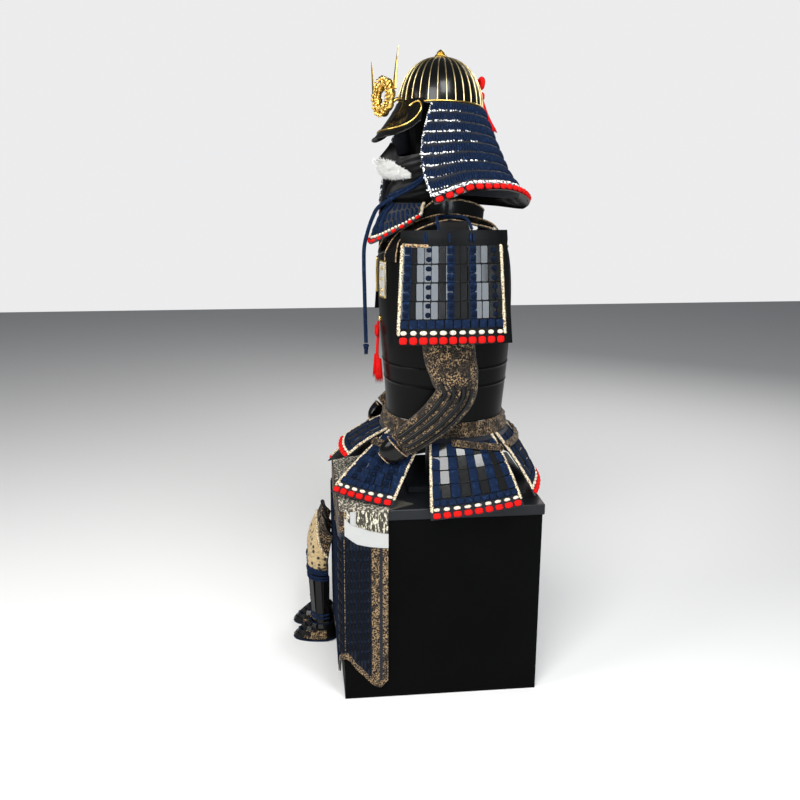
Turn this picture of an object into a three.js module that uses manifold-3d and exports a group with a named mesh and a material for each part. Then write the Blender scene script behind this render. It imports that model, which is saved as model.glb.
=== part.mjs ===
// Samurai armour set up on its storage box, at life size, in millimetres.
// +X is the wearer's left, -Y is the front and +Z is up. The origin lies on the
// floor under the middle of the box.
import * as THREE from "three";
import { mergeVertices } from "three/addons/utils/BufferGeometryUtils.js";
import Module from "manifold-3d";

const wasm = await Module();
wasm.setup();

// Driving dimensions
const BOX = { wide: 400, deep: 480, high: 470 };
const LID = { overhang: 5, thick: 26.7, seam: 0.3 };
const LID_TOP = BOX.high + LID.seam + LID.thick;
const SEAM = 0.3;
const PLATE = 2.5;
const CLOTH = 2;
const WAIST_HEIGHT = 690;
const SKIRT_TOP = 655;
const HELMET = { across: 95, along: 100, high: 118, segments: 24, rib: 1.8 };
const HELMET_PLACE = { x: 0, y: 8, z: 1403, yaw: 19, pitch: -4, roll: -8 };
const MASK_PLACE = { x: 0, y: 8, z: 0, yaw: 9 };
const SHOULDER_GUARD = { wideTop: 232, wideLow: 262, high: 246, bulge: 14, beads: 11 };
const SHIN_PLACES = { near: -122, far: -214 };
const SHIN_Y = -281;

const DEG = Math.PI / 180;
const point = (x, y, z) => new THREE.Vector3(x, y, z);
const mix = (a, b, t) => a + (b - a) * t;
const clamp = (t) => Math.min(1, Math.max(0, t));
const bend = (value, power) => Math.sign(value) * Math.abs(value) ** power;
const steps = (count) => Array.from({ length: count + 1 }, (_, i) => i / count);

// Body sections of the cuirass: height, half width, front and back
const TORSO = [
  [690, 146, -117, 170],
  [763, 150, -121, 176],
  [833, 158, -127, 181],
  [900, 165, -132, 184],
  [988, 170, -136, 184],
  [1050, 166, -136, 180],
  [1094, 158, -131, 171],
  [1132, 140, -112, 146],
];

// Neck guard: drop below the bowl, half width, front and back reach
const NECK_GUARD = [
  [-0.5, 98, 102],
  [-42, 110, 119],
  [-92, 126, 143],
  [-145, 143, 171],
  [-178, 157, 202],
  [-206, 172, 234],
];

// Half mask: height, half width at the cheeks, reach to the front
const MASK = [
  [1197, 44, 116],
  [1210, 52, 128],
  [1226, 58, 127],
  [1246, 63, 119],
  [1264, 67, 124],
  [1284, 70, 126],
  [1304, 72, 118],
  [1328, 73, 110],
];

// Skirt panels: angles of the top edge from the front, and the two lower corners
const SKIRT = [
  { name: "skirt_front", from: -20, to: 20, low: [[-80, -226, 588], [80, -226, 588]], rows: 2, beads: 7 },
  { name: "skirt_front_left", from: 24, to: 66, low: [[116, -264, 518], [204, -124, 506]], rows: 3, beads: 7 },
  { name: "skirt_left", from: 71, to: 128, low: [[241, -38, 482], [238, 184, 510]], rows: 3, beads: 9 },
  { name: "skirt_back_left", from: 133, to: 176, low: [[190, 222, 514], [10, 264, 514]], rows: 3, beads: 7 },
];

// Sleeve sections: centre, half width across the body, half depth
const SLEEVE = [
  [184.8, 12, 1162.6, 28, 30],
  [196, 12, 1104, 29, 46],
  [203, 10, 1030, 29, 54],
  [207, 6, 950, 28, 58],
  [207, 4, 880, 27, 60],
  [205, 18, 820, 27, 54],
  [201, 22, 775, 27, 46],
  [193, -12, 724, 27, 42],
  [181, -58, 681, 26, 38],
  [168, -104, 646, 25, 33],
];

// Values of a table's columns at a place along its first column, on smooth curves
function along(table, at) {
  const last = table.length - 1;
  const rising = table[last][0] > table[0][0];
  const before = (row) => (rising ? table[row][0] <= at : table[row][0] >= at);
  let row = 0;
  while (row < last - 1 && before(row + 1)) row += 1;
  const t = clamp((at - table[row][0]) / (table[row + 1][0] - table[row][0]));
  return spline(table, row, t).slice(1);
}

// Catmull-Rom blend of the rows of a table between one row and the next
function spline(table, row, t) {
  const last = table.length - 1;
  const a = table[Math.max(row - 1, 0)];
  const b = table[row];
  const c = table[row + 1];
  const d = table[Math.min(row + 2, last)];
  return b.map((_, k) => {
    const start = (c[k] - a[k]) / 2;
    const end = (d[k] - b[k]) / 2;
    const gap = c[k] - b[k];
    return b[k] + t * (start + t * (3 * gap - 2 * start - end + t * (start + end - 2 * gap)));
  });
}

// Values of a table whose rows are evenly spaced from 0 to 1
function evenly(table, t) {
  const place = clamp(t) * (table.length - 1);
  const row = Math.min(Math.floor(place), table.length - 2);
  return spline(table, row, place - row);
}

// One closed solid, gathered from strips of faces between columns of points
class Skin {
  constructor() {
    this.points = [];
    this.faces = [];
  }
  column(points, places) {
    const first = this.points.length;
    this.points.push(...points);
    return places.map((place, i) => ({ index: first + i, place }));
  }
  // Faces between two columns. The inside of a wall takes the other one first, so that its
  // diagonals lie under those of the outside.
  strip(a, b, inward = false) {
    let i = 0;
    let j = 0;
    while (i < a.length - 1 || j < b.length - 1) {
      const nextA = i < a.length - 1 ? a[i + 1].place : Infinity;
      const nextB = j < b.length - 1 ? b[j + 1].place : Infinity;
      if (inward ? nextA < nextB : nextA <= nextB) {
        this.faces.push([a[i].index, b[j].index, a[i + 1].index]);
        i += 1;
      } else {
        this.faces.push([a[i].index, b[j].index, b[j + 1].index]);
        j += 1;
      }
    }
  }
  geometry() {
    const position = new Float32Array(this.points.flatMap((p) => [p.x, p.y, p.z]));
    let faces = this.faces;
    if (signedVolume(this.points, faces) < 0) faces = faces.map(([a, b, c]) => [a, c, b]);
    return new THREE.BufferGeometry()
      .setAttribute("position", new THREE.BufferAttribute(position, 3))
      .setIndex(faces.flat());
  }
}

function signedVolume(points, faces) {
  const cross = new THREE.Vector3();
  let sum = 0;
  for (const [a, b, c] of faces) sum += cross.crossVectors(points[a], points[b]).dot(points[c]);
  return sum / 6;
}

// A wall over the surface at(u, v). rows holds [v, outward] pairs, and relief adds to the
// outward of a point. The inside is plain, with rows at inside only.
function wall({ at, us, rows, thick, relief = () => 0, ring = false, inside = [0, 1], side = 1 }) {
  const skin = new Skin();
  const step = 1e-3;
  const normal = (u, v) => {
    const du = at(u + step, v).sub(at(u - step, v));
    const dv = at(u, v + step).sub(at(u, v - step));
    return du.cross(dv).normalize().multiplyScalar(side);
  };
  const vs = rows.map(([v]) => v);
  const ends = [vs[0], vs[vs.length - 1]];
  const coarse = inside.map((t) => mix(ends[0], ends[1], t));
  const outer = [];
  const inner = [];
  us.forEach((u, c) => {
    const edge = !ring && (c === 0 || c === us.length - 1);
    const outward = rows.map(([v, out]) =>
      at(u, v).addScaledVector(normal(u, v), out + relief(u, v, c)),
    );
    outer.push(skin.column(outward, vs));
    const places = edge ? vs : coarse;
    const inward = places.map((v) => at(u, v).addScaledVector(normal(u, v), -thick));
    inner.push(skin.column(inward, places));
  });
  const count = ring ? us.length : us.length - 1;
  for (let c = 0; c < count; c += 1) {
    const next = (c + 1) % us.length;
    skin.strip(outer[c], outer[next]);
    skin.strip(inner[next], inner[c], true);
  }
  const rim = (columns, end) => {
    const cells = columns.map((col, c) => ({ index: col.at(end).index, place: us[c] }));
    if (ring) cells.push({ index: columns[0].at(end).index, place: us[0] + 1 });
    return cells;
  };
  skin.strip(rim(outer, 0), rim(inner, 0));
  skin.strip(rim(inner, -1), rim(outer, -1));
  if (!ring) {
    skin.strip(inner[0], outer[0]);
    skin.strip(outer.at(-1), inner.at(-1));
  }
  return skin.geometry();
}

// Columns for a row of beads: an edge column and a middle column for each bead
const beadColumns = (count) => steps(2 * count);

function solid(geometry) {
  const plain = new THREE.BufferGeometry().setAttribute(
    "position",
    geometry.index ? geometry.toNonIndexed().getAttribute("position") : geometry.getAttribute("position"),
  );
  const merged = mergeVertices(plain, 1e-3);
  return new wasm.Manifold(
    new wasm.Mesh({
      numProp: 3,
      vertProperties: new Float32Array(merged.attributes.position.array),
      triVerts: new Uint32Array(merged.index.array),
    }),
  );
}

function fromSolid(made) {
  const mesh = made.getMesh();
  return new THREE.BufferGeometry()
    .setAttribute("position", new THREE.BufferAttribute(new Float32Array(mesh.vertProperties), 3))
    .setIndex(new THREE.BufferAttribute(new Uint32Array(mesh.triVerts), 1));
}

const join = (geometries) => fromSolid(geometries.map(solid).reduce((a, b) => a.add(b)));

// A round bar along a smooth curve through points
function bar(points, radius, { sides = 8, count = 16, closed = false } = {}) {
  const curve = new THREE.CatmullRomCurve3(points, closed, "centripetal");
  const section = new THREE.Shape(
    steps(sides)
      .slice(0, -1)
      .map((t) => new THREE.Vector2(radius * Math.cos(t * 2 * Math.PI), radius * Math.sin(t * 2 * Math.PI))),
  );
  return new THREE.ExtrudeGeometry(section, { steps: count, bevelEnabled: false, extrudePath: curve });
}

function ball(place, size, width = 10, height = 7) {
  const shape = new THREE.SphereGeometry(1, width, height);
  return shape.scale(...size).translate(...place);
}

function block(wide, deep, high, x, y, low) {
  return new THREE.BoxGeometry(wide, deep, high).translate(x, y, low + high / 2);
}

const mirrored = (at) => (u, v) => {
  const p = at(1 - u, v);
  return point(-p.x, p.y, p.z);
};

// Materials
const finish = (color, roughness, metalness = 0) => () =>
  new THREE.MeshStandardMaterial({ color, roughness, metalness, side: THREE.DoubleSide });
const FINISH = {
  lacquer: finish(0x0b0b0d, 0.25),
  boxBlack: finish(0x08080a, 0.45),
  lidBlack: finish(0x1a1b1f, 0.35),
  gilt: finish(0xd9a83a, 0.3, 1),
  navy: finish(0x14233f, 0.85),
  red: finish(0xe01818, 0.7),
  white: finish(0xe8e4da, 0.9),
  brocade: finish(0x3a2d1c, 0.85),
  tan: finish(0xb89558, 0.85),
  wood: finish(0x6b4a2c, 0.6),
};

const armour = new THREE.Group();
function place(parent, name, geometry, look) {
  const mesh = new THREE.Mesh(geometry, look());
  mesh.name = name;
  parent.add(mesh);
  return mesh;
}

// Storage box with its lift-off lid
function makeBox() {
  place(armour, "box_body", block(BOX.wide, BOX.deep, BOX.high, 0, 0, 0), FINISH.boxBlack);
  const halfWide = BOX.wide / 2 + LID.overhang;
  const halfDeep = BOX.deep / 2 + LID.overhang;
  const bevel = 2;
  const corner = 4;
  const outline = new THREE.Shape();
  outline.moveTo(-halfWide + corner, -halfDeep);
  outline.absarc(halfWide - corner, -halfDeep + corner, corner, -90 * DEG, 0);
  outline.absarc(halfWide - corner, halfDeep - corner, corner, 0, 90 * DEG);
  outline.absarc(-halfWide + corner, halfDeep - corner, corner, 90 * DEG, 180 * DEG);
  outline.absarc(-halfWide + corner, -halfDeep + corner, corner, 180 * DEG, 270 * DEG);
  const lid = new THREE.ExtrudeGeometry(outline, {
    depth: LID.thick - 2 * bevel,
    bevelEnabled: true,
    bevelThickness: bevel,
    bevelSize: bevel,
    bevelOffset: -bevel,
    bevelSegments: 1,
    curveSegments: 1,
  }).translate(0, 0, BOX.high + LID.seam + bevel);
  place(armour, "box_lid", lid, FINISH.lidBlack);
}

// Plain stand inside the armour: base board, post, yoke, neck and head block
const STAND = { boardHigh: 14, post: 46, yokeLow: 1108, yokeTop: 1163.8, yokeDeep: 24, yokeBack: 6, yokeWide: 200, neckTop: 1216 };
const HEAD = [
  [30, 1216.3],
  [40, 1222],
  [50, 1250],
  [65, 1284],
  [68.3, 1304],
  [70, 1336],
  [76, 1390],
  [74, 1430],
  [50, 1461.5],
];
function makeStand() {
  const stand = new THREE.Group();
  stand.position.set(0, HELMET_PLACE.y, 0);
  armour.add(stand);
  const board = LID_TOP + SEAM;
  const postLow = board + STAND.boardHigh + SEAM;
  const { post, yokeLow, yokeTop, yokeDeep, yokeBack, yokeWide, neckTop } = STAND;
  place(stand, "stand_base", block(180, 200, STAND.boardHigh, 0, 20, board), FINISH.wood);
  place(stand, "stand_post", block(post, post, yokeLow - SEAM - postLow, 0, 0, postLow), FINISH.wood);
  place(stand, "stand_yoke", block(yokeWide, yokeDeep, yokeTop - yokeLow, 0, yokeBack, yokeLow), FINISH.wood);
  place(stand, "stand_neck", block(36, 24, neckTop - yokeTop - SEAM, 0, yokeBack, yokeTop + SEAM), FINISH.wood);
  const outline = HEAD.map(([radius, high]) => new THREE.Vector2(radius, high));
  const profile = [new THREE.Vector2(0, HEAD[0][1]), ...outline, new THREE.Vector2(0, HEAD.at(-1)[1])];
  const head = new THREE.LatheGeometry(profile, 12).rotateX(90 * DEG);
  place(stand, "head_block", head, FINISH.lacquer);
}

// A point on the torso: angle from the front towards the left, height, distance outward
function torso(angle, height, out = 0) {
  const [half, front, back] = along(TORSO, height);
  const middle = (front + back) / 2;
  const s = bend(Math.sin(angle * DEG), 0.9);
  const c = bend(Math.cos(angle * DEG), 0.9);
  return point((half + out) * s, middle - ((back - front) / 2 + out) * c, height);
}

// Top edges of the two halves, by angle from the middle
const FRONT_TOP = [[0, 1080], [24, 1092], [42, 1094], [54, 1056], [68, 1000], [90, 966]];
const BACK_TOP = [[0, 1130], [26, 1132], [42, 1122], [55, 1066], [70, 1004], [90, 966]];
const PLATE_LINES = [690, 776, 777, 819, 820, 955];
function makeCuirass() {
  const level = PLATE_LINES.at(-1);
  const half = (middle, top) => {
    const at = (u, v) => {
      const angle = mix(-89.9, 89.9, u);
      const crest = along(top, Math.abs(angle))[0];
      const height = v < 0.5 ? mix(WAIST_HEIGHT, level, v * 2) : mix(level, crest, v * 2 - 1);
      return torso(middle + angle, height);
    };
    const bands = PLATE_LINES.map((height, i) => [
      (height - WAIST_HEIGHT) / (level - WAIST_HEIGHT) / 2,
      i % 2 ? 1.6 : 0,
    ]);
    const rows = [...bands, [0.68, 1], [0.85, 1], [1, 0.5]];
    return wall({ at, us: steps(16), rows, thick: PLATE, inside: [0, 0.5, 0.68, 0.85, 1] });
  };
  place(armour, "cuirass_front", half(0, FRONT_TOP), FINISH.lacquer);
  place(armour, "cuirass_back", half(180, BACK_TOP), FINISH.lacquer);
}

// Shoulder straps: height of the inner and outer edge along the way from front to back
function strapPath(out) {
  const front = [torso(24, 1066, out), torso(40, 1066, out), torso(24, 1090, out), torso(40, 1090, out)];
  const back = [torso(156, 1126, out + 1.5), torso(140, 1116, out + 0.5), torso(156, 1096, out), torso(140, 1086, out)];
  const row = (a, b) => [a.x, a.y, a.z, b.x, b.y, b.z];
  return [
    row(front[0], front[1]),
    row(front[2], front[3]),
    [64, -98, 1128, 112, -94, 1119],
    [62, -48, 1158, 134, -44, 1148],
    [62, 8, 1172, 157, 8, 1164],
    [62, 66, 1168, 132, 62, 1154],
    [62, 122, 1152, 106, 117, 1140],
    row(back[0], back[1]),
    row(back[2], back[3]),
  ];
}
const STRAP = strapPath(6.3);
function strapAt(u, v) {
  const [ax, ay, az, bx, by, bz] = evenly(STRAP, 1 - v);
  return point(mix(ax, bx, u), mix(ay, by, u), mix(az, bz, u));
}
function makeStraps() {
  const rows = steps(14).map((v) => [v, 0]);
  const shape = (at) => wall({ at, us: steps(2), rows, thick: 3, inside: steps(14), side: -1 });
  place(armour, "shoulder_strap_left", shape(strapAt), FINISH.lacquer);
  place(armour, "shoulder_strap_right", shape(mirrored(strapAt)), FINISH.lacquer);
}

// Standing collar: angle from the front, half width, depth and height of its lower edge
const COLLAR = [
  [42, 58, 96, 1142],
  [58, 62, 90, 1155],
  [72, 63.5, 84, 1171.8],
  [90, 65.5, 84, 1172.2],
  [120, 64, 92, 1170.8],
  [180, 58, 100, 1146],
];
function makeCollar() {
  const at = (u, v) => {
    const angle = mix(42, 318, u);
    const folded = angle > 180 ? 360 - angle : angle;
    const [half, depth, low] = along(COLLAR, folded);
    const flare = 1 + 0.02 * v;
    return point(half * flare * Math.sin(angle * DEG), 14 - depth * flare * Math.cos(angle * DEG), low + 32 * v);
  };
  const rows = [[0, 0], [0.5, 0.5], [0.85, 2], [1, 1.5]];
  const shape = wall({ at, us: steps(20), rows, thick: 2.5, inside: [0, 1] });
  place(armour, "collar", shape, FINISH.lacquer);
}

// Chest fittings: two hanging plates, a ring and the tassel tied to it
const TASSEL = { angle: 3, ring: 921, radius: 7, head: 899, low: 762 };
function makeChestFittings() {
  const plate = (side) => {
    const at = (u, v) => torso(side * 18 + mix(-6.5, 6.5, u), mix(980, 1064, v), 2.9);
    const taper = (u, v) => {
      const p = at(0.5 + (u - 0.5) * (1 - 0.25 * Math.abs(v - 0.6)), v);
      return p;
    };
    const rows = [[0, 1], [0.08, 3], [0.5, 3.5], [0.92, 3], [1, 1]];
    return wall({ at: taper, us: steps(4), rows, thick: 1.2, inside: [0, 0.5, 1] });
  };
  place(armour, "chest_plate_left", plate(1), FINISH.white);
  place(armour, "chest_plate_right", plate(-1), FINISH.white);
  const seat = torso(TASSEL.angle, TASSEL.ring, 2.45);
  const ring = new THREE.TorusGeometry(TASSEL.radius, 2, 6, 10).rotateX(90 * DEG).rotateZ(TASSEL.angle * 0.8 * DEG);
  place(armour, "chest_ring", ring.translate(seat.x, seat.y, seat.z), FINISH.gilt);
  const hang = torso(TASSEL.angle, TASSEL.head, 7.2);
  const { x, y } = hang;
  const tail = (dx, dy, low, radius) =>
    bar([point(x, y, TASSEL.head - 6), point(x + dx * 0.6, y - 3, 835), point(x + dx, y - dy, low)], radius, { count: 3, sides: 6 });
  const loop = (side) =>
    new THREE.TorusGeometry(8, 3.2, 5, 8).rotateY(70 * DEG).translate(x + side * 9, y - 4, TASSEL.head - 6);
  const parts = [
    ball([x, y, TASSEL.head + 2.5], [7, 6, 10], 6, 4),
    loop(1),
    loop(-1),
    tail(-9, 4, TASSEL.low + 8, 6.5),
    tail(9, -1, TASSEL.low, 6.5),
  ];
  place(armour, "chest_tassel", join(parts), FINISH.red);
}

// Helmet, in a frame of its own at the middle of the bowl's lower edge
const helmet = new THREE.Group();
helmet.position.set(HELMET_PLACE.x, HELMET_PLACE.y, HELMET_PLACE.z);
helmet.rotation.set(HELMET_PLACE.pitch * DEG, HELMET_PLACE.roll * DEG, HELMET_PLACE.yaw * DEG, "ZYX");
armour.add(helmet);

// A point of the bowl: angle from the front, rise from 0 at the edge to 1 at the top
function bowl(angle, rise, out = 0) {
  const lean = rise * 88 * DEG;
  const across = bend(Math.cos(lean), 0.86);
  const high = HELMET.high * bend(Math.sin(lean), 0.96);
  const wide = (HELMET.across + out) * across;
  const long = (HELMET.along + out) * across;
  return point(wide * Math.sin(angle * DEG), -long * Math.cos(angle * DEG), high + out * Math.sin(lean));
}
function makeBowl() {
  const count = 2 * HELMET.segments;
  const us = steps(count).slice(0, -1);
  const at = (u, v) => bowl(u * 360, v);
  const relief = (u, v, c) => (c % 2 ? HELMET.rib : 0);
  const rows = [0, 0.04, 0.33, 0.62, 0.84, 0.96].map((v) => [v, 0]);
  const shape = wall({ at, us, rows, thick: PLATE, relief, ring: true, inside: [0, 0.62 / 0.96, 1] });
  place(helmet, "helmet_bowl", shape, FINISH.lacquer);
  const top = HELMET.high + 1.7;
  const profile = [
    [0, 0], [15.5, 0], [16.5, 2], [12, 4], [13, 7], [8.5, 9], [9, 13], [5, 17], [0, 20],
  ].map(([radius, high]) => new THREE.Vector2(radius, top + high));
  place(helmet, "helmet_knob", new THREE.LatheGeometry(profile, 10).rotateX(90 * DEG), FINISH.gilt);
}

// Padded lining on which the bowl sits: radius and height
const LINING = [[56, 66], [63.6, 77.5], [40, 94], [12, 106]];
function makeLining() {
  const outline = LINING.map(([radius, high]) => new THREE.Vector2(radius, high));
  const profile = [new THREE.Vector2(0, LINING[0][1]), ...outline, new THREE.Vector2(0, LINING.at(-1)[1] + 1)];
  place(helmet, "helmet_lining", new THREE.LatheGeometry(profile, 16).rotateX(90 * DEG), FINISH.navy);
}

// Visor: angle from the front, outward reach and drop of its lip
const VISOR = [[0, 62, 74], [12, 58, 75], [24, 46, 71], [34, 31, 59], [43, 19, 42]];
const VISOR_SPAN = 43;
function makeVisor() {
  const at = (u, v) => {
    const angle = mix(-VISOR_SPAN, VISOR_SPAN, u);
    const [reach, drop] = along(VISOR, Math.abs(angle));
    const edge = bowl(angle, 0, HELMET.rib + 1.5 + SEAM);
    const outward = point(Math.sin(angle * DEG), -Math.cos(angle * DEG), 0);
    const out = bend(1 - v, 1.15);
    return edge.addScaledVector(outward, reach * out).add(point(0, 0, 12 - (drop + 12) * (1 - v)));
  };
  const rows = [[0, 2], [0.08, 2.2], [0.1, 0], [0.5, 0], [1, 0]];
  place(helmet, "helmet_visor", wall({ at, us: steps(18), rows, thick: 2, inside: [0, 0.5, 1] }), FINISH.lacquer);
}

// Front crest: a wreath between two horns, on the front of the bowl
const CREST = { forward: 143, up: 19, wide: 36, high: 33, thick: 12, spread: 74, tip: 113 };
function makeCrest() {
  const { forward, up, wide, high, thick, spread, tip } = CREST;
  const wreath = new THREE.TorusGeometry(1, 0.3, 5, 24);
  const position = wreath.getAttribute("position");
  for (let i = 0; i < position.count; i += 1) {
    const p = new THREE.Vector3().fromBufferAttribute(position, i);
    const angle = Math.atan2(p.y, p.x);
    const away = p.clone().sub(point(Math.cos(angle), Math.sin(angle), 0));
    const lump = 1 + 0.16 * Math.cos(8 * angle);
    const centre = point(Math.cos(angle) * wide, 0, Math.sin(angle) * high);
    const radial = away.x * Math.cos(angle) + away.y * Math.sin(angle);
    const grow = (thick / 0.3) * lump;
    centre.x += radial * Math.cos(angle) * grow;
    centre.z += radial * Math.sin(angle) * grow;
    centre.y -= away.z * grow * 0.8;
    position.setXYZ(i, centre.x, centre.y - forward, centre.z + up);
  }
  const foot = [point(0, -forward, up - high), point(0, -124, 7), point(0, -112, 17), point(0, -99.9, 18)];
  const stem = bar(foot, 4, { sides: 6, count: 3 });
  place(helmet, "crest_wreath", join([wreath, stem]), FINISH.gilt);
  const horn = (side) => {
    const at = (u, v) => {
      const turn = u * 2 * Math.PI;
      const size = 7.5 * bend(1 - v, 0.7) + 0.6;
      const x = side * mix(wide + thick + 8.4, spread, bend(v, 1.3));
      return point(x + size * Math.cos(turn), -forward + 0.45 * size * Math.sin(turn), mix(up + 6, tip, v));
    };
    const skin = new Skin();
    const vs = steps(7);
    const us = steps(8).slice(0, -1);
    const columns = us.map((u) => skin.column(vs.map((v) => at(u, v)), vs));
    columns.forEach((column, c) => skin.strip(column, columns[(c + 1) % columns.length]));
    [0, -1].forEach((end) => {
      for (let c = 1; c < columns.length - 1; c += 1) {
        const face = [columns[0].at(end).index, columns[c].at(end).index, columns[c + 1].at(end).index];
        skin.faces.push(end === 0 ? [face[0], face[2], face[1]] : face);
      }
    });
    return skin.geometry();
  };
  place(helmet, "crest_horn_left", horn(1), FINISH.gilt);
  place(helmet, "crest_horn_right", horn(-1), FINISH.gilt);
}

// Neck guard below the bowl, round from one temple to the other
const GUARD_FROM = 52;
const GUARD_SLANT = 8;
const GUARD_BULGE = 9;
const LAMES = 9;
// How far the lower edge is lifted, by angle from the front
const GUARD_LIFT = [[52, -28], [60, -27], [84, 2], [100, 10], [125, 16], [150, 10], [180, -4]];
function guardAt(angle, v, out = 0) {
  const folded = angle > 180 ? 360 - angle : angle;
  const lift = along(GUARD_LIFT, folded)[0];
  const low = NECK_GUARD.at(-1)[0];
  const drop = mix(low, NECK_GUARD[0][0], v);
  const [half, back] = along(NECK_GUARD, drop);
  const share = clamp((folded - 90) / 90);
  const reach = mix(half * 1.02, back, share * share * (3 - 2 * share));
  const height = drop + lift * (1 - v) ** 2;
  return point((half + out) * Math.sin(angle * DEG), -(reach + out) * Math.cos(angle * DEG), height);
}
function makeNeckGuard() {
  const split = 1 / LAMES;
  const at = (u, v) => {
    const bulge = GUARD_BULGE * Math.sin(Math.PI * clamp(1 - v));
    const from = GUARD_FROM + GUARD_SLANT * (1 - v) ** 2 - bulge;
    return guardAt(mix(from, 360 - from, u), v);
  };
  const rows = [];
  for (let lame = 1; lame < LAMES; lame += 1) {
    rows.push([lame * split + (lame === 1 ? 0.003 : 0.002), 4.6]);
    rows.push([(lame + 1) * split - 0.002, 0.4]);
  }
  const upper = wall({ at, us: steps(18), rows, thick: 2.5, inside: [0, 0.2, 0.6, 1] });
  place(helmet, "neck_guard", upper, FINISH.navy);
  const beads = 24;
  const relief = (u, v, c) => (v > 0.02 && v < 0.06 ? (c % 2 ? 5 : 0) : 0);
  const rim = wall({
    at,
    us: beadColumns(beads),
    rows: [[0, 1], [0.035, 1.5], [0.075, 1], [split, 0.4]],
    thick: 2.5,
    relief,
    inside: [0, 1],
  });
  place(helmet, "neck_guard_rim", rim, FINISH.red);
}

// Bow of thick cord on the back of the helmet
function makeHelmetBow() {
  const seat = bowl(180, 0.36, 6.9);
  const { y, z } = seat;
  const loop = (side) =>
    bar(
      [
        point(side * 4, y + 2, z + 2),
        point(side * 22, y + 4, z + 12),
        point(side * 30, y + 3, z + 2),
        point(side * 20, y + 4, z - 8),
        point(side * 4, y + 2, z - 3),
      ],
      5,
      { sides: 5, count: 7 },
    );
  const tail = (side) =>
    bar(
      [
        point(side * 4, y + 2, z - 6),
        point(side * 8, y + 14.5, z - 40),
        point(side * 11, y + 26, z - 70),
        point(side * 13, y + 44, z - 104),
      ],
      5.5,
      { sides: 5, count: 5 },
    );
  const knot = ball([0, y + 3, z], [10, 8.4, 10], 8, 5);
  place(helmet, "helmet_bow", join([knot, loop(1), loop(-1), tail(1), tail(-1)]), FINISH.red);
}

// Half mask with its moustache, in a frame turned like the helmet
const face = new THREE.Group();
face.position.set(MASK_PLACE.x, MASK_PLACE.y, MASK_PLACE.z);
face.rotation.z = MASK_PLACE.yaw * DEG;
armour.add(face);

// Top edge of the mask by angle from the front
const MASK_TOP = [[0, 1332], [10, 1326], [24, 1303], [48, 1306], [96, 1326]];
function maskAt(angle, v, out = 0) {
  const top = along(MASK_TOP, Math.abs(angle))[0];
  const height = mix(MASK[0][0], top, v);
  const [half, reach] = along(MASK, height);
  const nose = Math.exp(-((angle / 10) ** 2));
  const bridge = clamp((height - 1276) / 18) * clamp((1352 - height) / 52);
  const brow = 4 * Math.exp(-(((Math.abs(angle) - 42) / 16) ** 2)) * clamp((height - 1262) / 20);
  const more = out + 26 * nose * bridge + brow;
  const s = Math.sin(angle * DEG);
  const c = Math.cos(angle * DEG);
  return point((half + more) * s, -(reach + more) * c, height);
}
function makeMask() {
  const at = (u, v) => maskAt(mix(-96, 96, u), v);
  const rows = steps(7).map((v) => [v, 0]);
  const shape = wall({ at, us: steps(20), rows, thick: PLATE, inside: [0, 3 / 7, 1] });
  place(face, "mask", shape, FINISH.lacquer);
  const hair = wall({
    at: (u, v) => {
      const angle = mix(-46, 46, u);
      const share = Math.abs(angle) / 46;
      const middle = 1277 - 16 * share ** 1.4;
      const tall = 15 * (1 - share ** 3) + 3;
      const height = middle + (v - 0.5) * 2 * tall;
      const crown = 13 * Math.sin(Math.PI * clamp(v)) * (1 - 0.9 * share ** 2);
      const on = maskAt(angle, (height - MASK[0][0]) / (along(MASK_TOP, Math.abs(angle))[0] - MASK[0][0]), 3.8 + crown);
      return on;
    },
    us: steps(12),
    rows: steps(4).map((v) => [v, 0]),
    thick: 2.5,
    inside: steps(4),
  });
  place(face, "moustache", hair, FINISH.white);
}

// Throat guard hanging from the chin: height at the front, half width and reach
const THROAT = [
  [0, 100, 170],
  [0.33, 88, 157],
  [0.66, 70, 143],
  [1, 45.5, 117.3],
];
const THROAT_SPAN = 66;
function throatAt(angle, v, out = 0) {
  const [half, reach] = along(THROAT, v);
  const side = clamp(Math.abs(angle) / THROAT_SPAN);
  const height = mix(mix(1101, 1170, side ** 1.7), 1196.6, v);
  return point((half + out) * Math.sin(angle * DEG), -(reach + out) * Math.cos(angle * DEG), height);
}
function makeThroatGuard() {
  const at = (u, v) => throatAt(mix(-THROAT_SPAN, THROAT_SPAN, u), v);
  const beads = 11;
  const relief = (u, v, c) => (v > 0.04 && v < 0.1 && c % 2 ? 3.6 : 0);
  const rows = [
    [0, 0.6], [0.07, 1], [0.14, 0.6], [0.42, 0.2], [0.43, 3], [1, 0.2],
  ];
  const shape = wall({ at, us: beadColumns(beads), rows, thick: CLOTH, relief, inside: [0, 0.5, 1] });
  place(face, "throat_guard", shape, FINISH.navy);
}

// Free cord from the chin, knotted at its end
const CHIN_CORD = [
  [45, -140, 1188],
  [42, -155, 1162],
  [40, -166, 1130],
  [39, -174, 1095],
  [38, -175, 1050],
  [38, -174, 1000],
  [37, -173, 950],
  [37, -172, 905],
  [37, -171, 866],
];
function makeChinCord() {
  const start = maskAt(28, 0.13, 2.7).applyEuler(face.rotation).add(face.position);
  const route = [start, ...CHIN_CORD.map(([x, y, z]) => point(x, y, z))];
  place(armour, "chin_cord", bar(route, 3.2, { sides: 6, count: 18 }), FINISH.navy);
  const end = CHIN_CORD.at(-1);
  const tip = bar([point(end[0], end[1], 852), point(end[0], end[1], 836)], 4.4, { sides: 6, count: 1 });
  const knot = [ball([end[0], end[1], end[2] - 8], [6, 6, 7.7], 8, 5), tip];
  place(armour, "chin_cord_knot", join(knot), FINISH.navy);
}

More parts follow.
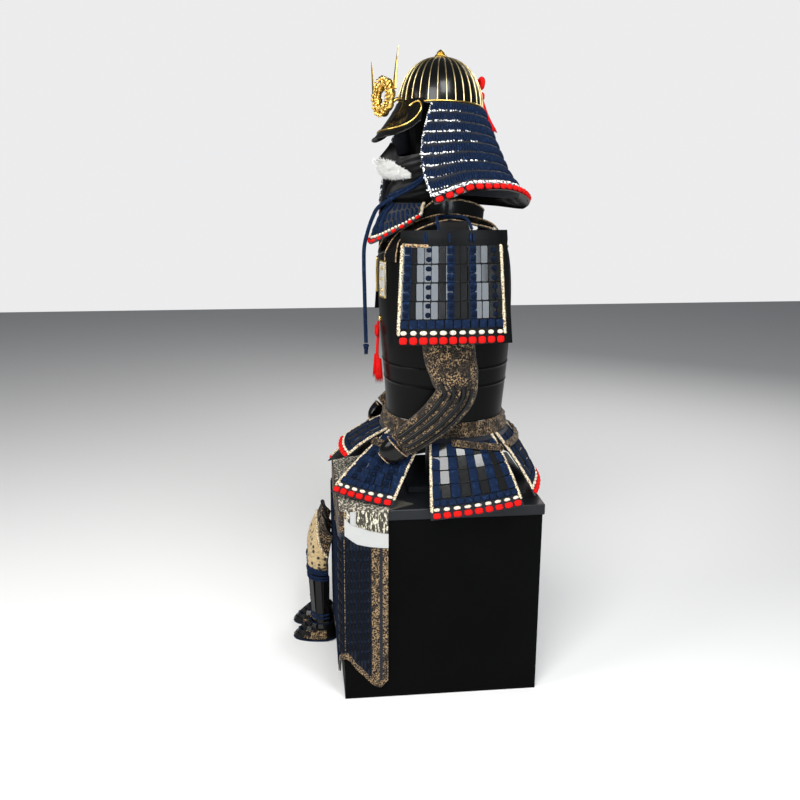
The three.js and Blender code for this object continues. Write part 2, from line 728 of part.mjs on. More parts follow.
// Shoulder guards: a panel of plates with two rows of beads along its foot
function guardPanelAt(u, v) {
  const { wideTop, wideLow, high, bulge } = SHOULDER_GUARD;
  const wide = mix(wideLow, wideTop, v);
  const along = (u - 0.5) * wide;
  const out = bulge * (1 - (2 * u - 1) ** 2) - 5 * v;
  return point(out, along, (v - 1) * high);
}
const PANEL_ROWS = (count, low, top) => {
  const rows = [];
  for (let i = 0; i < count; i += 1) {
    rows.push([mix(low, top, i / count) + 0.003, 3]);
    rows.push([mix(low, top, (i + 1) / count) - 0.003, 1]);
  }
  return rows;
};
const BEAD_ROWS = [[0, 0.5], [0.04, 1], [0.08, 0.5]];
const beadRelief = (u, v, c) => (c % 2 && v > 0.02 && v < 0.06 ? 5 : 0);
function makeShoulderGuards() {
  const rows = [...BEAD_ROWS, ...PANEL_ROWS(5, 0.155, 0.86), [0.87, 4], [1, 4]];
  const shape = (at) =>
    wall({
      at,
      us: beadColumns(SHOULDER_GUARD.beads),
      rows,
      thick: PLATE,
      relief: beadRelief,
      inside: [0, 1],
    });
  const left = new THREE.Group();
  left.position.set(238, 6, 1148);
  left.rotation.set(0, -5 * DEG, 2 * DEG, "ZYX");
  armour.add(left);
  place(left, "shoulder_guard_left", shape(guardPanelAt), FINISH.lacquer);
  const right = new THREE.Group();
  right.position.set(-238, 6, 1148);
  right.rotation.set(0, 5 * DEG, -2 * DEG, "ZYX");
  armour.add(right);
  place(right, "shoulder_guard_right", shape(mirrored(guardPanelAt)), FINISH.lacquer);
}

// Cord that ties each shoulder guard to its strap, looped over from the guard's crown
const SHOULDER_CORD = [
  [247, -30, 1152],
  [200, -27, 1167],
  [160, -18, 1171.5],
  [126, 8, 1170.1],
  [160, 34, 1171.5],
  [200, 41, 1167],
  [244.5, 42, 1151.8],
];
function makeShoulderCords() {
  for (const [name, side] of [["left", 1], ["right", -1]]) {
    const route = SHOULDER_CORD.map(([x, y, z]) => point(side * x, y, z));
    place(armour, "shoulder_cord_" + name, bar(route, 3.5, { sides: 6, count: 12 }), FINISH.navy);
  }
}

// Sleeves, a flattened tube from the shoulder to the wrist
function sleeveAt(u, v) {
  const [x, y, z, across, deep] = evenly(SLEEVE, 1 - v);
  const ahead = evenly(SLEEVE, 1 - v + 0.02);
  const behind = evenly(SLEEVE, 1 - v - 0.02);
  const run = point(0, ahead[1] - behind[1], ahead[2] - behind[2]).normalize();
  const turn = u * 2 * Math.PI;
  const forward = point(0, -run.z, run.y).multiplyScalar(-deep * Math.cos(turn));
  return point(x + across * Math.sin(turn), y, z).add(forward);
}
function makeSleeves() {
  const us = steps(15).slice(0, -1);
  const rows = steps(10).map((v) => [v, 0]);
  // Three long splints stand out from the outer side of the forearm
  const splint = (u, v) => {
    const turn = (u * 360 - 90) / 34;
    const on = v > 0.05 && v < 0.4 && Math.abs(turn) < 1.6;
    return on && Math.abs(turn - Math.round(turn)) < 0.3 ? 2.4 : 0;
  };
  const shape = (at, relief) =>
    wall({ at, us, rows, thick: CLOTH, relief, ring: true, inside: [0, 0.2, 0.3, 0.4, 0.5, 0.6, 0.8, 0.9, 1] });
  place(armour, "sleeve_left", shape(sleeveAt, splint), FINISH.brocade);
  place(armour, "sleeve_right", shape(mirrored(sleeveAt), (u, v) => splint(1 - u, v)), FINISH.brocade);
}

// Hand guards, a scoop over the back of the hand at the end of each sleeve
const HAND = { wrist: [168, -107.4, 642.6], tip: [160, -140, 611], across: 27, deep: 32 };
function handAt(u, v) {
  const { wrist, tip, across, deep } = HAND;
  const t = 1 - v;
  const centre = point(mix(wrist[0], tip[0], t), mix(wrist[1], tip[1], t), mix(wrist[2], tip[2], t));
  const run = point(0, tip[1] - wrist[1], tip[2] - wrist[2]).normalize();
  const size = Math.sqrt(Math.max(0.06, 1 - (0.92 * t) ** 3));
  const turn = mix(-45, 190, u) * DEG;
  const forward = point(0, -run.z, run.y).multiplyScalar(-deep * size * Math.cos(turn));
  return centre.add(forward).add(point(across * size * Math.sin(turn), 0, 0));
}
function makeHandGuards() {
  const rows = steps(5).map((v) => [v, v > 0.95 ? 1.4 : 0.4]);
  const shape = (at) => wall({ at, us: steps(10), rows, thick: CLOTH, inside: steps(5) });
  place(armour, "hand_guard_left", shape(handAt), FINISH.lacquer);
  place(armour, "hand_guard_right", shape(mirrored(handAt)), FINISH.lacquer);
}

// Sash round the waist, under the cuirass
function makeSash() {
  const at = (u, v) => {
    const angle = u * 360;
    const p = torso(angle, WAIST_HEIGHT, 2.4 + 9.6 * (1 - v));
    p.z = mix(SKIRT_TOP + SEAM, WAIST_HEIGHT - SEAM, v);
    return p;
  };
  const relief = (u, v, c) => (c % 2 ? 1.5 : 0);
  const rows = [[0, 0], [0.3, 3], [0.55, 0.5], [0.8, 3], [1, 0]];
  const us = steps(24).slice(0, -1);
  place(armour, "waist_sash", wall({ at, us, rows, thick: 4, relief, ring: true, inside: [0, 1] }), FINISH.brocade);
}

// Skirt panels hanging from the sash
function skirtAt({ from, to, low }) {
  return (u, v) => {
    const top = torso(mix(from, to, u), WAIST_HEIGHT, 9);
    top.z = SKIRT_TOP - 1.2;
    const foot = point(...low[0]).lerp(point(...low[1]), u);
    const middle = point(0, 26, foot.z);
    const outward = foot.clone().sub(middle).normalize();
    foot.addScaledVector(outward, 10 * (1 - (2 * u - 1) ** 2));
    const p = foot.clone().lerp(top, v);
    const rise = 7 * Math.sin(Math.PI * clamp(v));
    return p.addScaledVector(outward, rise * 0.6).add(point(0, 0, rise * 0.6));
  };
}
function makeSkirt() {
  const shape = (panel, at) => {
    const rows = [...BEAD_ROWS, ...PANEL_ROWS(panel.rows, 0.155, 0.86), [1, 0]];
    return wall({ at, us: beadColumns(panel.beads), rows, thick: CLOTH, relief: beadRelief, inside: [0, 0.5, 1] });
  };
  for (const panel of SKIRT) {
    const at = skirtAt(panel);
    place(armour, panel.name, shape(panel, at), FINISH.navy);
    if (panel.name !== "skirt_front") {
      place(armour, panel.name.replace("left", "right"), shape(panel, mirrored(at)), FINISH.navy);
    }
  }
}

// Thigh guards: a cloth over the lid's front corner and a plated apron that hangs below it
const CORNER = 8;
const EDGE = { x: BOX.wide / 2 + LID.overhang + 3, y: -BOX.deep / 2 - LID.overhang - 3 };
const HEM = { inner: 18, side: -134 };
// Plan of the hanging edge from the inner front, round the corner, to the near side
function hemRun(out) {
  const x = EDGE.x + out;
  const y = EDGE.y - out;
  const round = CORNER + out;
  const straight = x - round - HEM.inner;
  const arc = (round * Math.PI) / 2;
  return { x, y, round, straight, arc, total: straight + arc + (HEM.side - y - round) };
}
function hemPlan(u, out) {
  const { x, y, round, straight, arc, total } = hemRun(out);
  const way = u * total;
  if (way < straight) return [HEM.inner + way, y];
  if (way < straight + arc) {
    const turn = (way - straight) / round;
    return [x - round + round * Math.sin(turn), y + round - round * Math.cos(turn)];
  }
  return [x, y + round + (way - straight - arc)];
}
function hemColumns(out) {
  const { straight, arc, total } = hemRun(out);
  const flat = [0, 0.25, 0.5, 0.75, 0.92].map((t) => t * straight);
  const turn = [0, 1 / 3, 2 / 3, 1].map((t) => straight + t * arc);
  const side = [0.25, 0.5, 0.75, 1].map((t) => mix(straight + arc, total, t));
  return [...flat, ...turn, ...side].map((way) => way / total);
}
// Lower edge of the apron by place along the plan
const APRON_LOW = [[0, 78], [0.3, 60], [0.45, 52], [0.58, 96], [0.66, 118], [0.75, 84], [0.92, 36], [1, 54]];
const BAND = { low: 408, high: 428 };
const APRON_OUT = 2.4;
function clothAt(u, v) {
  const [x, y] = hemPlan(u, 0);
  const top = LID_TOP + CLOTH + SEAM;
  const fold = 0.55;
  if (v < fold) return point(x, y, mix(BAND.low + 4, top, v / fold));
  const t = (v - fold) / (1 - fold);
  const inner = [mix(18, 172, bend(u, 0.8)), mix(-150, -70, u ** 2)];
  return point(mix(x, inner[0], t), mix(y, inner[1], t), top);
}
function apronAt(u, v) {
  const [x, y] = hemPlan(u, APRON_OUT);
  return point(x, y, mix(along(APRON_LOW, u)[0], BAND.high, v));
}
function makeThighGuards() {
  const turned = (us) => us.map((u) => 1 - u).reverse();
  const hem = hemColumns(0);
  const skirting = hemColumns(APRON_OUT);
  const cloth = (at, columns) => {
    const rows = [0, 0.3, 0.55, 0.8, 1].map((v) => [v, 0]);
    return wall({ at, us: columns, rows, thick: CLOTH, inside: [0, 0.55, 1] });
  };
  place(armour, "thigh_cloth_left", cloth(clothAt, hem), FINISH.brocade);
  place(armour, "thigh_cloth_right", cloth(mirrored(clothAt), turned(hem)), FINISH.brocade);
  const apron = (at, columns) => {
    const rows = [[0, 1], [0.03, 2]];
    const count = 5;
    for (let i = 0; i < count; i += 1) {
      rows.push([mix(0.04, 0.94, i / count) + 0.004, 2.6]);
      rows.push([mix(0.04, 0.94, (i + 1) / count) - 0.004, 1.2]);
    }
    rows.push([0.945, 3], [1, 3]);
    return wall({ at, us: columns, rows, thick: CLOTH, inside: [0, 1] });
  };
  place(armour, "thigh_apron_left", apron(apronAt, skirting), FINISH.navy);
  place(armour, "thigh_apron_right", apron(mirrored(apronAt), turned(skirting)), FINISH.navy);
}

// Shin guards that stand on the floor in front of the box: knee cloth, splints and foot cover
const KNEE_TOP = [[0, 366], [40, 360], [75, 334], [112, 319]];
const KNEE_LOW = 203.4;
function kneeAt(u, v) {
  const angle = mix(-112, 112, u);
  const top = along(KNEE_TOP, Math.abs(angle))[0];
  const height = mix(KNEE_LOW, top, v);
  const lean = clamp((height - KNEE_LOW) / 162);
  const half = mix(43, 34, lean ** 2);
  const c = Math.cos(angle * DEG);
  const back = 8 * lean + 26 * lean ** 2;
  return point(half * Math.sin(angle * DEG), back - (c > 0 ? half - 3 : 23) * c, height);
}
function shinAt(u, v) {
  const angle = mix(-118, 118, u);
  const height = mix(51.4, 203, v);
  const half = mix(31, 40, v);
  const c = Math.cos(angle * DEG);
  return point(half * Math.sin(angle * DEG), -(c > 0 ? half - 2 : 23) * c, height);
}
function footAt(u, v) {
  const angle = u * 360;
  const slope = bend(v, 1.35);
  const half = mix(38, 30, slope);
  const toe = mix(86, 36, slope);
  const heel = mix(36, 24, slope);
  const c = Math.cos(angle * DEG);
  const reach = c > 0 ? toe : heel;
  return point(half * Math.sin(angle * DEG), 1 - reach * c, mix(0.4, 51, v));
}
function makeShinGuards() {
  for (const [name, x] of Object.entries(SHIN_PLACES)) {
    const leg = new THREE.Group();
    leg.position.set(x, SHIN_Y, 0);
    armour.add(leg);
    const knee = wall({
      at: kneeAt,
      us: steps(14),
      rows: steps(5).map((v) => [v, v > 0.9 ? 1.5 : 0]),
      thick: CLOTH,
      inside: steps(3),
    });
    place(leg, "knee_guard_" + name, knee, FINISH.tan);
    // Seven splints stand out from the tube
    const splints = 7;
    const bump = (u, v, c) => (c % 2 ? 2.6 : 0);
    const shin = wall({
      at: shinAt,
      us: steps(2 * splints),
      rows: [0, 0.03, 0.5, 0.97, 1].map((v, i) => [v, i % 4 ? 0.8 : 0]),
      thick: CLOTH,
      relief: bump,
      inside: [0, 1],
    });
    place(leg, "shin_guard_" + name, shin, FINISH.lacquer);
    const foot = wall({
      at: footAt,
      us: steps(16).slice(0, -1),
      rows: [0, 0.15, 0.4, 0.7, 1].map((v) => [v, 0]),
      thick: CLOTH,
      ring: true,
      inside: [0, 0.4, 1],
    });
    place(leg, "foot_cover_" + name, foot, FINISH.navy);
  }
}

makeBox();
makeStand();
makeCuirass();
makeStraps();
makeCollar();
makeChestFittings();
makeBowl();
makeLining();
makeVisor();
makeCrest();
makeNeckGuard();
makeHelmetBow();
makeMask();
makeThroatGuard();
makeChinCord();
makeShoulderGuards();
makeShoulderCords();
makeSleeves();
makeHandGuards();
makeSash();
makeSkirt();
makeThighGuards();
makeShinGuards();

export default armour;
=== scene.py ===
"""Samurai armour on its storage box: lacquer, lacing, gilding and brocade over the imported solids."""
import math

import bmesh
import bpy
import numpy as np
from mathutils import Matrix, Vector


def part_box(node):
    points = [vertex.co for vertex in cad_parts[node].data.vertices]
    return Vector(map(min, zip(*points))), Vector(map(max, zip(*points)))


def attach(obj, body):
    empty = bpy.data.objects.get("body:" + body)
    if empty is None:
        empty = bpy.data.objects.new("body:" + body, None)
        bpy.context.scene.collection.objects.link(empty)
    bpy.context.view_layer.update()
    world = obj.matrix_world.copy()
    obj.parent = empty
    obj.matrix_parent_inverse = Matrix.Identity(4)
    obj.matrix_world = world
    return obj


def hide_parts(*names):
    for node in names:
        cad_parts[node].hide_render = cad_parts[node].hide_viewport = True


bl_info = {
    "name": "Samurai armour on its storage box",
    "version": (1, 0, 0),
    "blender": (4, 5, 0),
    "location": "View3D > Sidebar > Armour",
    "description": "Dresses the packed armour with lacquer, lacing, gilding and brocade",
    "category": "Add Mesh",
}

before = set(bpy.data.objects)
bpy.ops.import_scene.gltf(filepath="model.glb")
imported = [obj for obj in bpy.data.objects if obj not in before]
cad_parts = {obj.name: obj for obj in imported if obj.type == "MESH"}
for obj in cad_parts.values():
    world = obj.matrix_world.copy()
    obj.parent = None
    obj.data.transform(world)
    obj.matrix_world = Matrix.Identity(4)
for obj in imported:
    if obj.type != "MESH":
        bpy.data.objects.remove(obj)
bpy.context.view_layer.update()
MM = 0.001
DEG = math.pi / 180
SEAM = 0.3
WAIST_HEIGHT = 690
CHEST = 955
SKIRT_TOP = 655
LID_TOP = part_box("box_lid")[1].z / MM

# Sections of the cuirass: height, half width, front and back, in millimetres
TORSO = [
    [690, 146, -117, 170],
    [763, 150, -121, 176],
    [833, 158, -127, 181],
    [900, 165, -132, 184],
    [988, 170, -136, 184],
    [1050, 166, -136, 180],
    [1094, 158, -131, 171],
    [1132, 140, -112, 146],
]
# Upper edges of the cuirass's halves: angle from the middle and height
FRONT_TOP = [[0, 1080], [24, 1092], [42, 1094], [54, 1056], [68, 1000], [90, 966]]
BACK_TOP = [[0, 1130], [26, 1132], [42, 1122], [55, 1066], [70, 1004], [90, 966]]
# Neck guard: drop below the bowl, half width, back reach
NECK_GUARD = [
    [-0.5, 98, 102],
    [-42, 110, 119],
    [-92, 126, 143],
    [-145, 143, 171],
    [-178, 157, 202],
    [-206, 172, 234],
]
# Rise of the neck guard's lowest edge: angle from the front and height
GUARD_LIFT = [[52, -28], [60, -27], [84, 2], [100, 10], [125, 16], [150, 10], [180, -4]]
GUARD_FROM = 52
GUARD_SLANT = 8
GUARD_BULGE = 9
LAMES = 9
# Half mask: height, half width at the cheeks, reach to the front
MASK = [
    [1197, 44, 116],
    [1210, 52, 128],
    [1226, 58, 127],
    [1246, 63, 119],
    [1264, 67, 124],
    [1284, 70, 126],
    [1304, 72, 118],
    [1328, 73, 110],
]
# Upper edge of the mask: angle from the front and height
MASK_TOP = [[0, 1332], [10, 1326], [24, 1303], [48, 1306], [96, 1326]]
# Throat guard: share of its height, half width and reach to the front
THROAT = [[0, 100, 170], [0.33, 88, 157], [0.66, 70, 143], [1, 45.5, 117.3]]
THROAT_SPAN = 66
MASK_SPAN = 96
# Visor: angle from the front, outward reach and drop of its lip
VISOR = [[0, 62, 74], [12, 58, 75], [24, 46, 71], [34, 31, 59], [43, 19, 42]]
VISOR_SPAN = 43
# Standing collar: angle from the front, half width, depth and height of its lower edge
COLLAR = [
    [42, 58, 96, 1142],
    [58, 62, 90, 1155],
    [72, 63.5, 84, 1171.8],
    [90, 65.5, 84, 1172.2],
    [120, 64, 92, 1170.8],
    [180, 58, 100, 1146],
]
# Skirt panels: top angles from the front, two lower corners, rows of plates and beads
SKIRT = {
    "skirt_front": (-20, 20, (-80, -226, 588), (80, -226, 588), 2, 7),
    "skirt_front_left": (24, 66, (116, -264, 518), (204, -124, 506), 3, 7),
    "skirt_left": (71, 128, (241, -38, 482), (238, 184, 510), 3, 9),
    "skirt_back_left": (133, 176, (190, 222, 514), (10, 264, 514), 3, 7),
}
# Sleeve sections: centre, half width across the body, half depth
SLEEVE = [
    [184.8, 12, 1162.6, 28, 30],
    [196, 12, 1104, 29, 46],
    [203, 10, 1030, 29, 54],
    [207, 6, 950, 28, 58],
    [207, 4, 880, 27, 60],
    [205, 18, 820, 27, 54],
    [201, 22, 775, 27, 46],
    [193, -12, 724, 27, 42],
    [181, -58, 681, 26, 38],
    [168, -104, 646, 25, 33],
]
# Route of the free cord below its exit at the mask
CHIN_CORD = [
    [45, -140, 1188],
    [42, -155, 1162],
    [40, -166, 1130],
    [39, -174, 1095],
    [38, -175, 1050],
    [38, -174, 1000],
    [37, -173, 950],
    [37, -172, 905],
    [37, -171, 866],
]
# Upper edge of the knee cloth: angle from the front and height
KNEE_TOP = [[0, 366], [40, 360], [75, 334], [112, 319]]
KNEE_LOW = 203.4
SHINS = {"near": -122, "far": -214}
SHIN_Y = -281
# Lower edge of the thigh apron: place along it and height
APRON_LOW = [[0, 78], [0.3, 60], [0.45, 52], [0.58, 96], [0.66, 118], [0.75, 84], [0.92, 36], [1, 54]]
# Heights between which the thigh cloth ends and the apron begins
BAND = (408, 428)
# White band on the side of a thigh guard: place along it, upper and lower edge
WHITE_BAND = [[0, 487, 442], [0.16, 468, 429], [0.3, 461, 418], [0.6, 449, 410], [1, 440, 405]]
# Shares of the thigh guard's way round: where its side begins, its corner, and its side alone
SIDE_FROM = 0.652
CORNER = 0.655
SIDE_SHARE = 0.34
FRONT_CLOTH_TOP = 499.5
APRON_OUT = 2.4
# Heights of the cuirass's two ridges
RIDGES = (776, 819)
# Share of each laced row of the neck guard, from its front end, that carries white bits of painted
# highlight along its lower edge
PAINTED_HIGHLIGHT_SHARES = (0.08, 0.10, 0.23, 0.14, 0.22, 0.19, 0.16, 0.13)
# Knob of the bowl: radius and height above the bowl
KNOB = [
    (16.5, 0),
    (17.5, 1.6),
    (15.5, 3.2),
    (12, 4.4),
    (13.4, 6.4),
    (11, 8.4),
    (8.4, 9.6),
    (9.6, 12),
    (7, 15.2),
    (3.4, 18.4),
    (0.4, 20),
]
# The chest tassel's two ends: side, height of its foot and reach to the front
TASSEL_ENDS = ((-1, 770, 4), (1, 762, -1))


def mix(a, b, t):
    return a + (b - a) * t


def clamp(t):
    return min(1.0, max(0.0, t))


def bend(value, power):
    return math.copysign(abs(value) ** power, value)


def steps(count):
    return [i / count for i in range(count + 1)]


def spline(table, row, t):
    """Catmull-Rom blend of a table's rows between one row and the next."""
    last = len(table) - 1
    a, b, c, d = table[max(row - 1, 0)], table[row], table[row + 1], table[min(row + 2, last)]
    out = []
    for k in range(len(b)):
        start = (c[k] - a[k]) / 2
        end = (d[k] - b[k]) / 2
        gap = c[k] - b[k]
        out.append(b[k] + t * (start + t * (3 * gap - 2 * start - end + t * (start + end - 2 * gap))))
    return out


def along(table, at):
    """A table's other columns at a place along its first one."""
    last = len(table) - 1
    rising = table[last][0] > table[0][0]
    row = 0
    while row < last - 1 and (table[row + 1][0] <= at if rising else table[row + 1][0] >= at):
        row += 1
    t = clamp((at - table[row][0]) / (table[row + 1][0] - table[row][0]))
    return spline(table, row, t)[1:]


def evenly(table, t):
    """A table whose rows are evenly spaced from 0 to 1."""
    place = clamp(t) * (len(table) - 1)
    row = min(int(place), len(table) - 2)
    return spline(table, row, place - row)


# Forms of the armour, as functions of a way across (u) and a way up (v), in millimetres
def torso(angle, height, out=0.0):
    half, front, back = along(TORSO, height)
    s = bend(math.sin(angle * DEG), 0.9)
    c = bend(math.cos(angle * DEG), 0.9)
    return ((half + out) * s, (front + back) / 2 - ((back - front) / 2 + out) * c, height)


def cuirass_half(middle, top):
    def at(u, v):
        angle = mix(-89.9, 89.9, u)
        crest = along(top, abs(angle))[0]
        height = mix(WAIST_HEIGHT, CHEST, v * 2) if v < 0.5 else mix(CHEST, crest, v * 2 - 1)
        return torso(middle + angle, height)

    return at


def strap_rows(out):
    front = [torso(24, 1066, out), torso(40, 1066, out), torso(24, 1090, out), torso(40, 1090, out)]
    back = [
        torso(156, 1126, out + 1.5),
        torso(140, 1116, out + 0.5),
        torso(156, 1096, out),
        torso(140, 1086, out),
    ]
    return [
        [*front[0], *front[1]],
        [*front[2], *front[3]],
        [64, -98, 1128, 112, -94, 1119],
        [62, -48, 1158, 134, -44, 1148],
        [62, 8, 1172, 157, 8, 1164],
        [62, 66, 1168, 132, 62, 1154],
        [62, 122, 1152, 106, 117, 1140],
        [*back[0], *back[1]],
        [*back[2], *back[3]],
    ]


STRAP = strap_rows(6.3)


def strap(u, v):
    row = evenly(STRAP, 1 - v)
    return tuple(mix(row[k], row[k + 3], u) for k in range(3))


def collar(u, v):
    angle = mix(42, 318, u)
    half, depth, low = along(COLLAR, 360 - angle if angle > 180 else angle)
    flare = 1 + 0.02 * v
    x = half * flare * math.sin(angle * DEG)
    return (x, 14 - depth * flare * math.cos(angle * DEG), low + 32 * v)


def bowl(angle, rise, out=0.0):
    lean = rise * 88 * DEG
    across = bend(math.cos(lean), 0.86)
    high = 118 * bend(math.sin(lean), 0.96) + out * math.sin(lean)
    x = (95 + out) * across * math.sin(angle * DEG)
    return (x, -(100 + out) * across * math.cos(angle * DEG), high)


def visor(u, v):
    angle = mix(-VISOR_SPAN, VISOR_SPAN, u)
    reach, drop = along(VISOR, abs(angle))
    x, y, z = bowl(angle, 0, 1.8 + 1.5 + SEAM)
    out = reach * bend(1 - v, 1.15)
    x += math.sin(angle * DEG) * out
    y -= math.cos(angle * DEG) * out
    return (x, y, z + 12 - (drop + 12) * (1 - v))


def neck_guard(u, v, out=0.0):
    start = GUARD_FROM + GUARD_SLANT * (1 - v) ** 2 - GUARD_BULGE * math.sin(math.pi * clamp(1 - v))
    angle = mix(start, 360 - start, u)
    folded = 360 - angle if angle > 180 else angle
    lift = along(GUARD_LIFT, folded)[0]
    drop = mix(NECK_GUARD[-1][0], NECK_GUARD[0][0], v)
    half, back = along(NECK_GUARD, drop)
    share = clamp((folded - 90) / 90)
    reach = mix(half * 1.02, back, share * share * (3 - 2 * share))
    height = drop + lift * (1 - v) ** 2
    return ((half + out) * math.sin(angle * DEG), -(reach + out) * math.cos(angle * DEG), height)


def mask(angle, v, out=0.0):
    top = along(MASK_TOP, abs(angle))[0]
    height = mix(MASK[0][0], top, v)
    half, reach = along(MASK, height)
    nose = math.exp(-((angle / 10) ** 2))
    bridge = clamp((height - 1276) / 18) * clamp((1352 - height) / 52)
    brow = 4 * math.exp(-(((abs(angle) - 42) / 16) ** 2)) * clamp((height - 1262) / 20)
    more = out + 26 * nose * bridge + brow
    return ((half + more) * math.sin(angle * DEG), -(reach + more) * math.cos(angle * DEG), height)


def throat(u, v, out=0.0):
    angle = mix(-THROAT_SPAN, THROAT_SPAN, u)
    half, reach = along(THROAT, v)
    side = clamp(abs(angle) / THROAT_SPAN)
    height = mix(mix(1101, 1170, side**1.7), 1196.6, v)
    return ((half + out) * math.sin(angle * DEG), -(reach + out) * math.cos(angle * DEG), height)


def shoulder_panel(u, v):
    wide = mix(262, 232, v)
    out = 14 * (1 - (2 * u - 1) ** 2) - 5 * v
    return (out, (u - 0.5) * wide, (v - 1) * 246)


def sleeve(u, v):
    x, y, z, across, deep = evenly(SLEEVE, 1 - v)
    ahead = evenly(SLEEVE, 1 - v + 0.02)
    behind = evenly(SLEEVE, 1 - v - 0.02)
    run = Vector((0, ahead[1] - behind[1], ahead[2] - behind[2])).normalized()
    turn = u * 2 * math.pi
    k = -deep * math.cos(turn)
    return (x + across * math.sin(turn), y - run.z * k, z + run.y * k)


def hand(u, v):
    wrist, tip, across, deep = (168, -107.4, 642.6), (160, -140, 611), 27, 32
    t = 1 - v
    centre = [mix(wrist[k], tip[k], t) for k in range(3)]
    run = Vector((0, tip[1] - wrist[1], tip[2] - wrist[2])).normalized()
    size = math.sqrt(max(0.06, 1 - (0.92 * t) ** 3)) if t > 0 else 1.0
    turn = mix(-45, 190, u) * DEG
    k = -deep * size * math.cos(turn)
    return (centre[0] + across * size * math.sin(turn), centre[1] - run.z * k, centre[2] + run.y * k)


def sash(u, v):
    x, y, _ = torso(u * 360, WAIST_HEIGHT, 2.4 + 9.6 * (1 - v))
    return (x, y, mix(SKIRT_TOP + SEAM, WAIST_HEIGHT - SEAM, v))


def skirt_panel(name):
    first, last, low, high, _, _ = SKIRT[name]

    def at(u, v):
        x, y, _ = torso(mix(first, last, u), WAIST_HEIGHT, 9)
        top = Vector((x, y, SKIRT_TOP - 1.2))
        foot = Vector(low).lerp(Vector(high), u)
        outward = (foot - Vector((0, 26, foot.z))).normalized()
        foot = foot + outward * 10 * (1 - (2 * u - 1) ** 2)
        rise = 7 * math.sin(math.pi * clamp(v)) * 0.6
        return tuple(foot.lerp(top, v) + outward * rise + Vector((0, 0, rise)))

    return at


def hem(u, out):
    """Plan of the thigh guards' hanging edge from the inner front, round the corner, to the side."""
    x, y, inner, side = 208 + out, -248 - out, 18, -134
    corner = 8 + out
    straight = x - corner - inner
    arc = corner * math.pi / 2
    total = straight + arc + (side - y - corner)
    way = u * total
    if way < straight:
        return inner + way, y
    if way < straight + arc:
        turn = (way - straight) / corner
        return x - corner + corner * math.sin(turn), y + corner - corner * math.cos(turn)
    return x, y + corner + (way - straight - arc)


def thigh_cloth(u, v):
    x, y = hem(u, 0)
    top = LID_TOP + 2 + SEAM
    if v < 0.55:
        return (x, y, mix(BAND[0] + 4, top, v / 0.55))
    t = (v - 0.55) / 0.45
    return (mix(x, mix(18, 172, bend(u, 0.8)), t), mix(y, mix(-150, -70, u**2), t), top)


def thigh_apron(u, v):
    x, y = hem(u, APRON_OUT)
    return (x, y, mix(along(APRON_LOW, u)[0], BAND[1], v))


def level(at, u, height, out):
    """A place on an upright form at a height, in millimetres."""
    place, facing, _, _ = spot(at, u, 0.5, 0.0)
    return tuple(Vector((place.x, place.y, height)) + facing * out)


def white_band(u, v):
    x, y = hem(u, APRON_OUT)
    way = (u - SIDE_FROM) / (1 - SIDE_FROM) if u > SIDE_FROM else 0.8 * (SIDE_FROM - u) / SIDE_FROM
    head, foot = along(WHITE_BAND, clamp(way))
    return (x, y, mix(foot, head, v))


def thigh_skirting(u, v):
    x, y = hem(u, APRON_OUT)
    return (x, y, mix(along(APRON_LOW, u)[0], white_band(u, 0.0)[2] + 8, v))


def thigh_front(u, v):
    x, y = hem(u * CORNER, APRON_OUT)
    return (x, y, mix(white_band(u * CORNER, 0.0)[2] - 2, FRONT_CLOTH_TOP, v))


def knee(u, v):
    angle = mix(-112, 112, u)
    height = mix(KNEE_LOW, along(KNEE_TOP, abs(angle))[0], v)
    lean = clamp((height - KNEE_LOW) / 162)
    half = mix(43, 34, lean**2)
    c = math.cos(angle * DEG)
    back = 8 * lean + 26 * lean**2
    return (half * math.sin(angle * DEG), back - (half - 3 if c > 0 else 23) * c, height)


def shin(u, v):
    angle = mix(-118, 118, u)
    half = mix(31, 40, v)
    c = math.cos(angle * DEG)
    return (half * math.sin(angle * DEG), -(half - 2 if c > 0 else 23) * c, mix(51.4, 203, v))


def foot(u, v):
    angle = u * 360
    slope = bend(v, 1.35)
    c = math.cos(angle * DEG)
    reach = mix(86, 36, slope) if c > 0 else mix(36, 24, slope)
    return (mix(38, 30, slope) * math.sin(angle * DEG), 1 - reach * c, mix(0.4, 51, v))


def mirrored(at):
    def other(u, v):
        x, y, z = at(1 - u, v)
        return (-x, y, z)

    return other


def placed(at, matrix):
    """A form moved by a matrix, as a piece of a turned group is."""

    def moved(u, v):
        return tuple(matrix @ Vector(at(u, v)))

    return moved


def turn(place, pitch=0.0, roll=0.0, yaw=0.0):
    spin = Matrix.Rotation(yaw * DEG, 4, "Z") @ Matrix.Rotation(roll * DEG, 4, "Y")
    return Matrix.Translation(place) @ (spin @ Matrix.Rotation(pitch * DEG, 4, "X"))


HELMET = turn((0, 8, 1403), -4, -8, 19)
FACE = turn((0, 8, 0), 0, 0, 9)
SHOULDER = {1: turn((238, 6, 1148), 0, -5, 2), -1: turn((-238, 6, 1148), 0, 5, -2)}


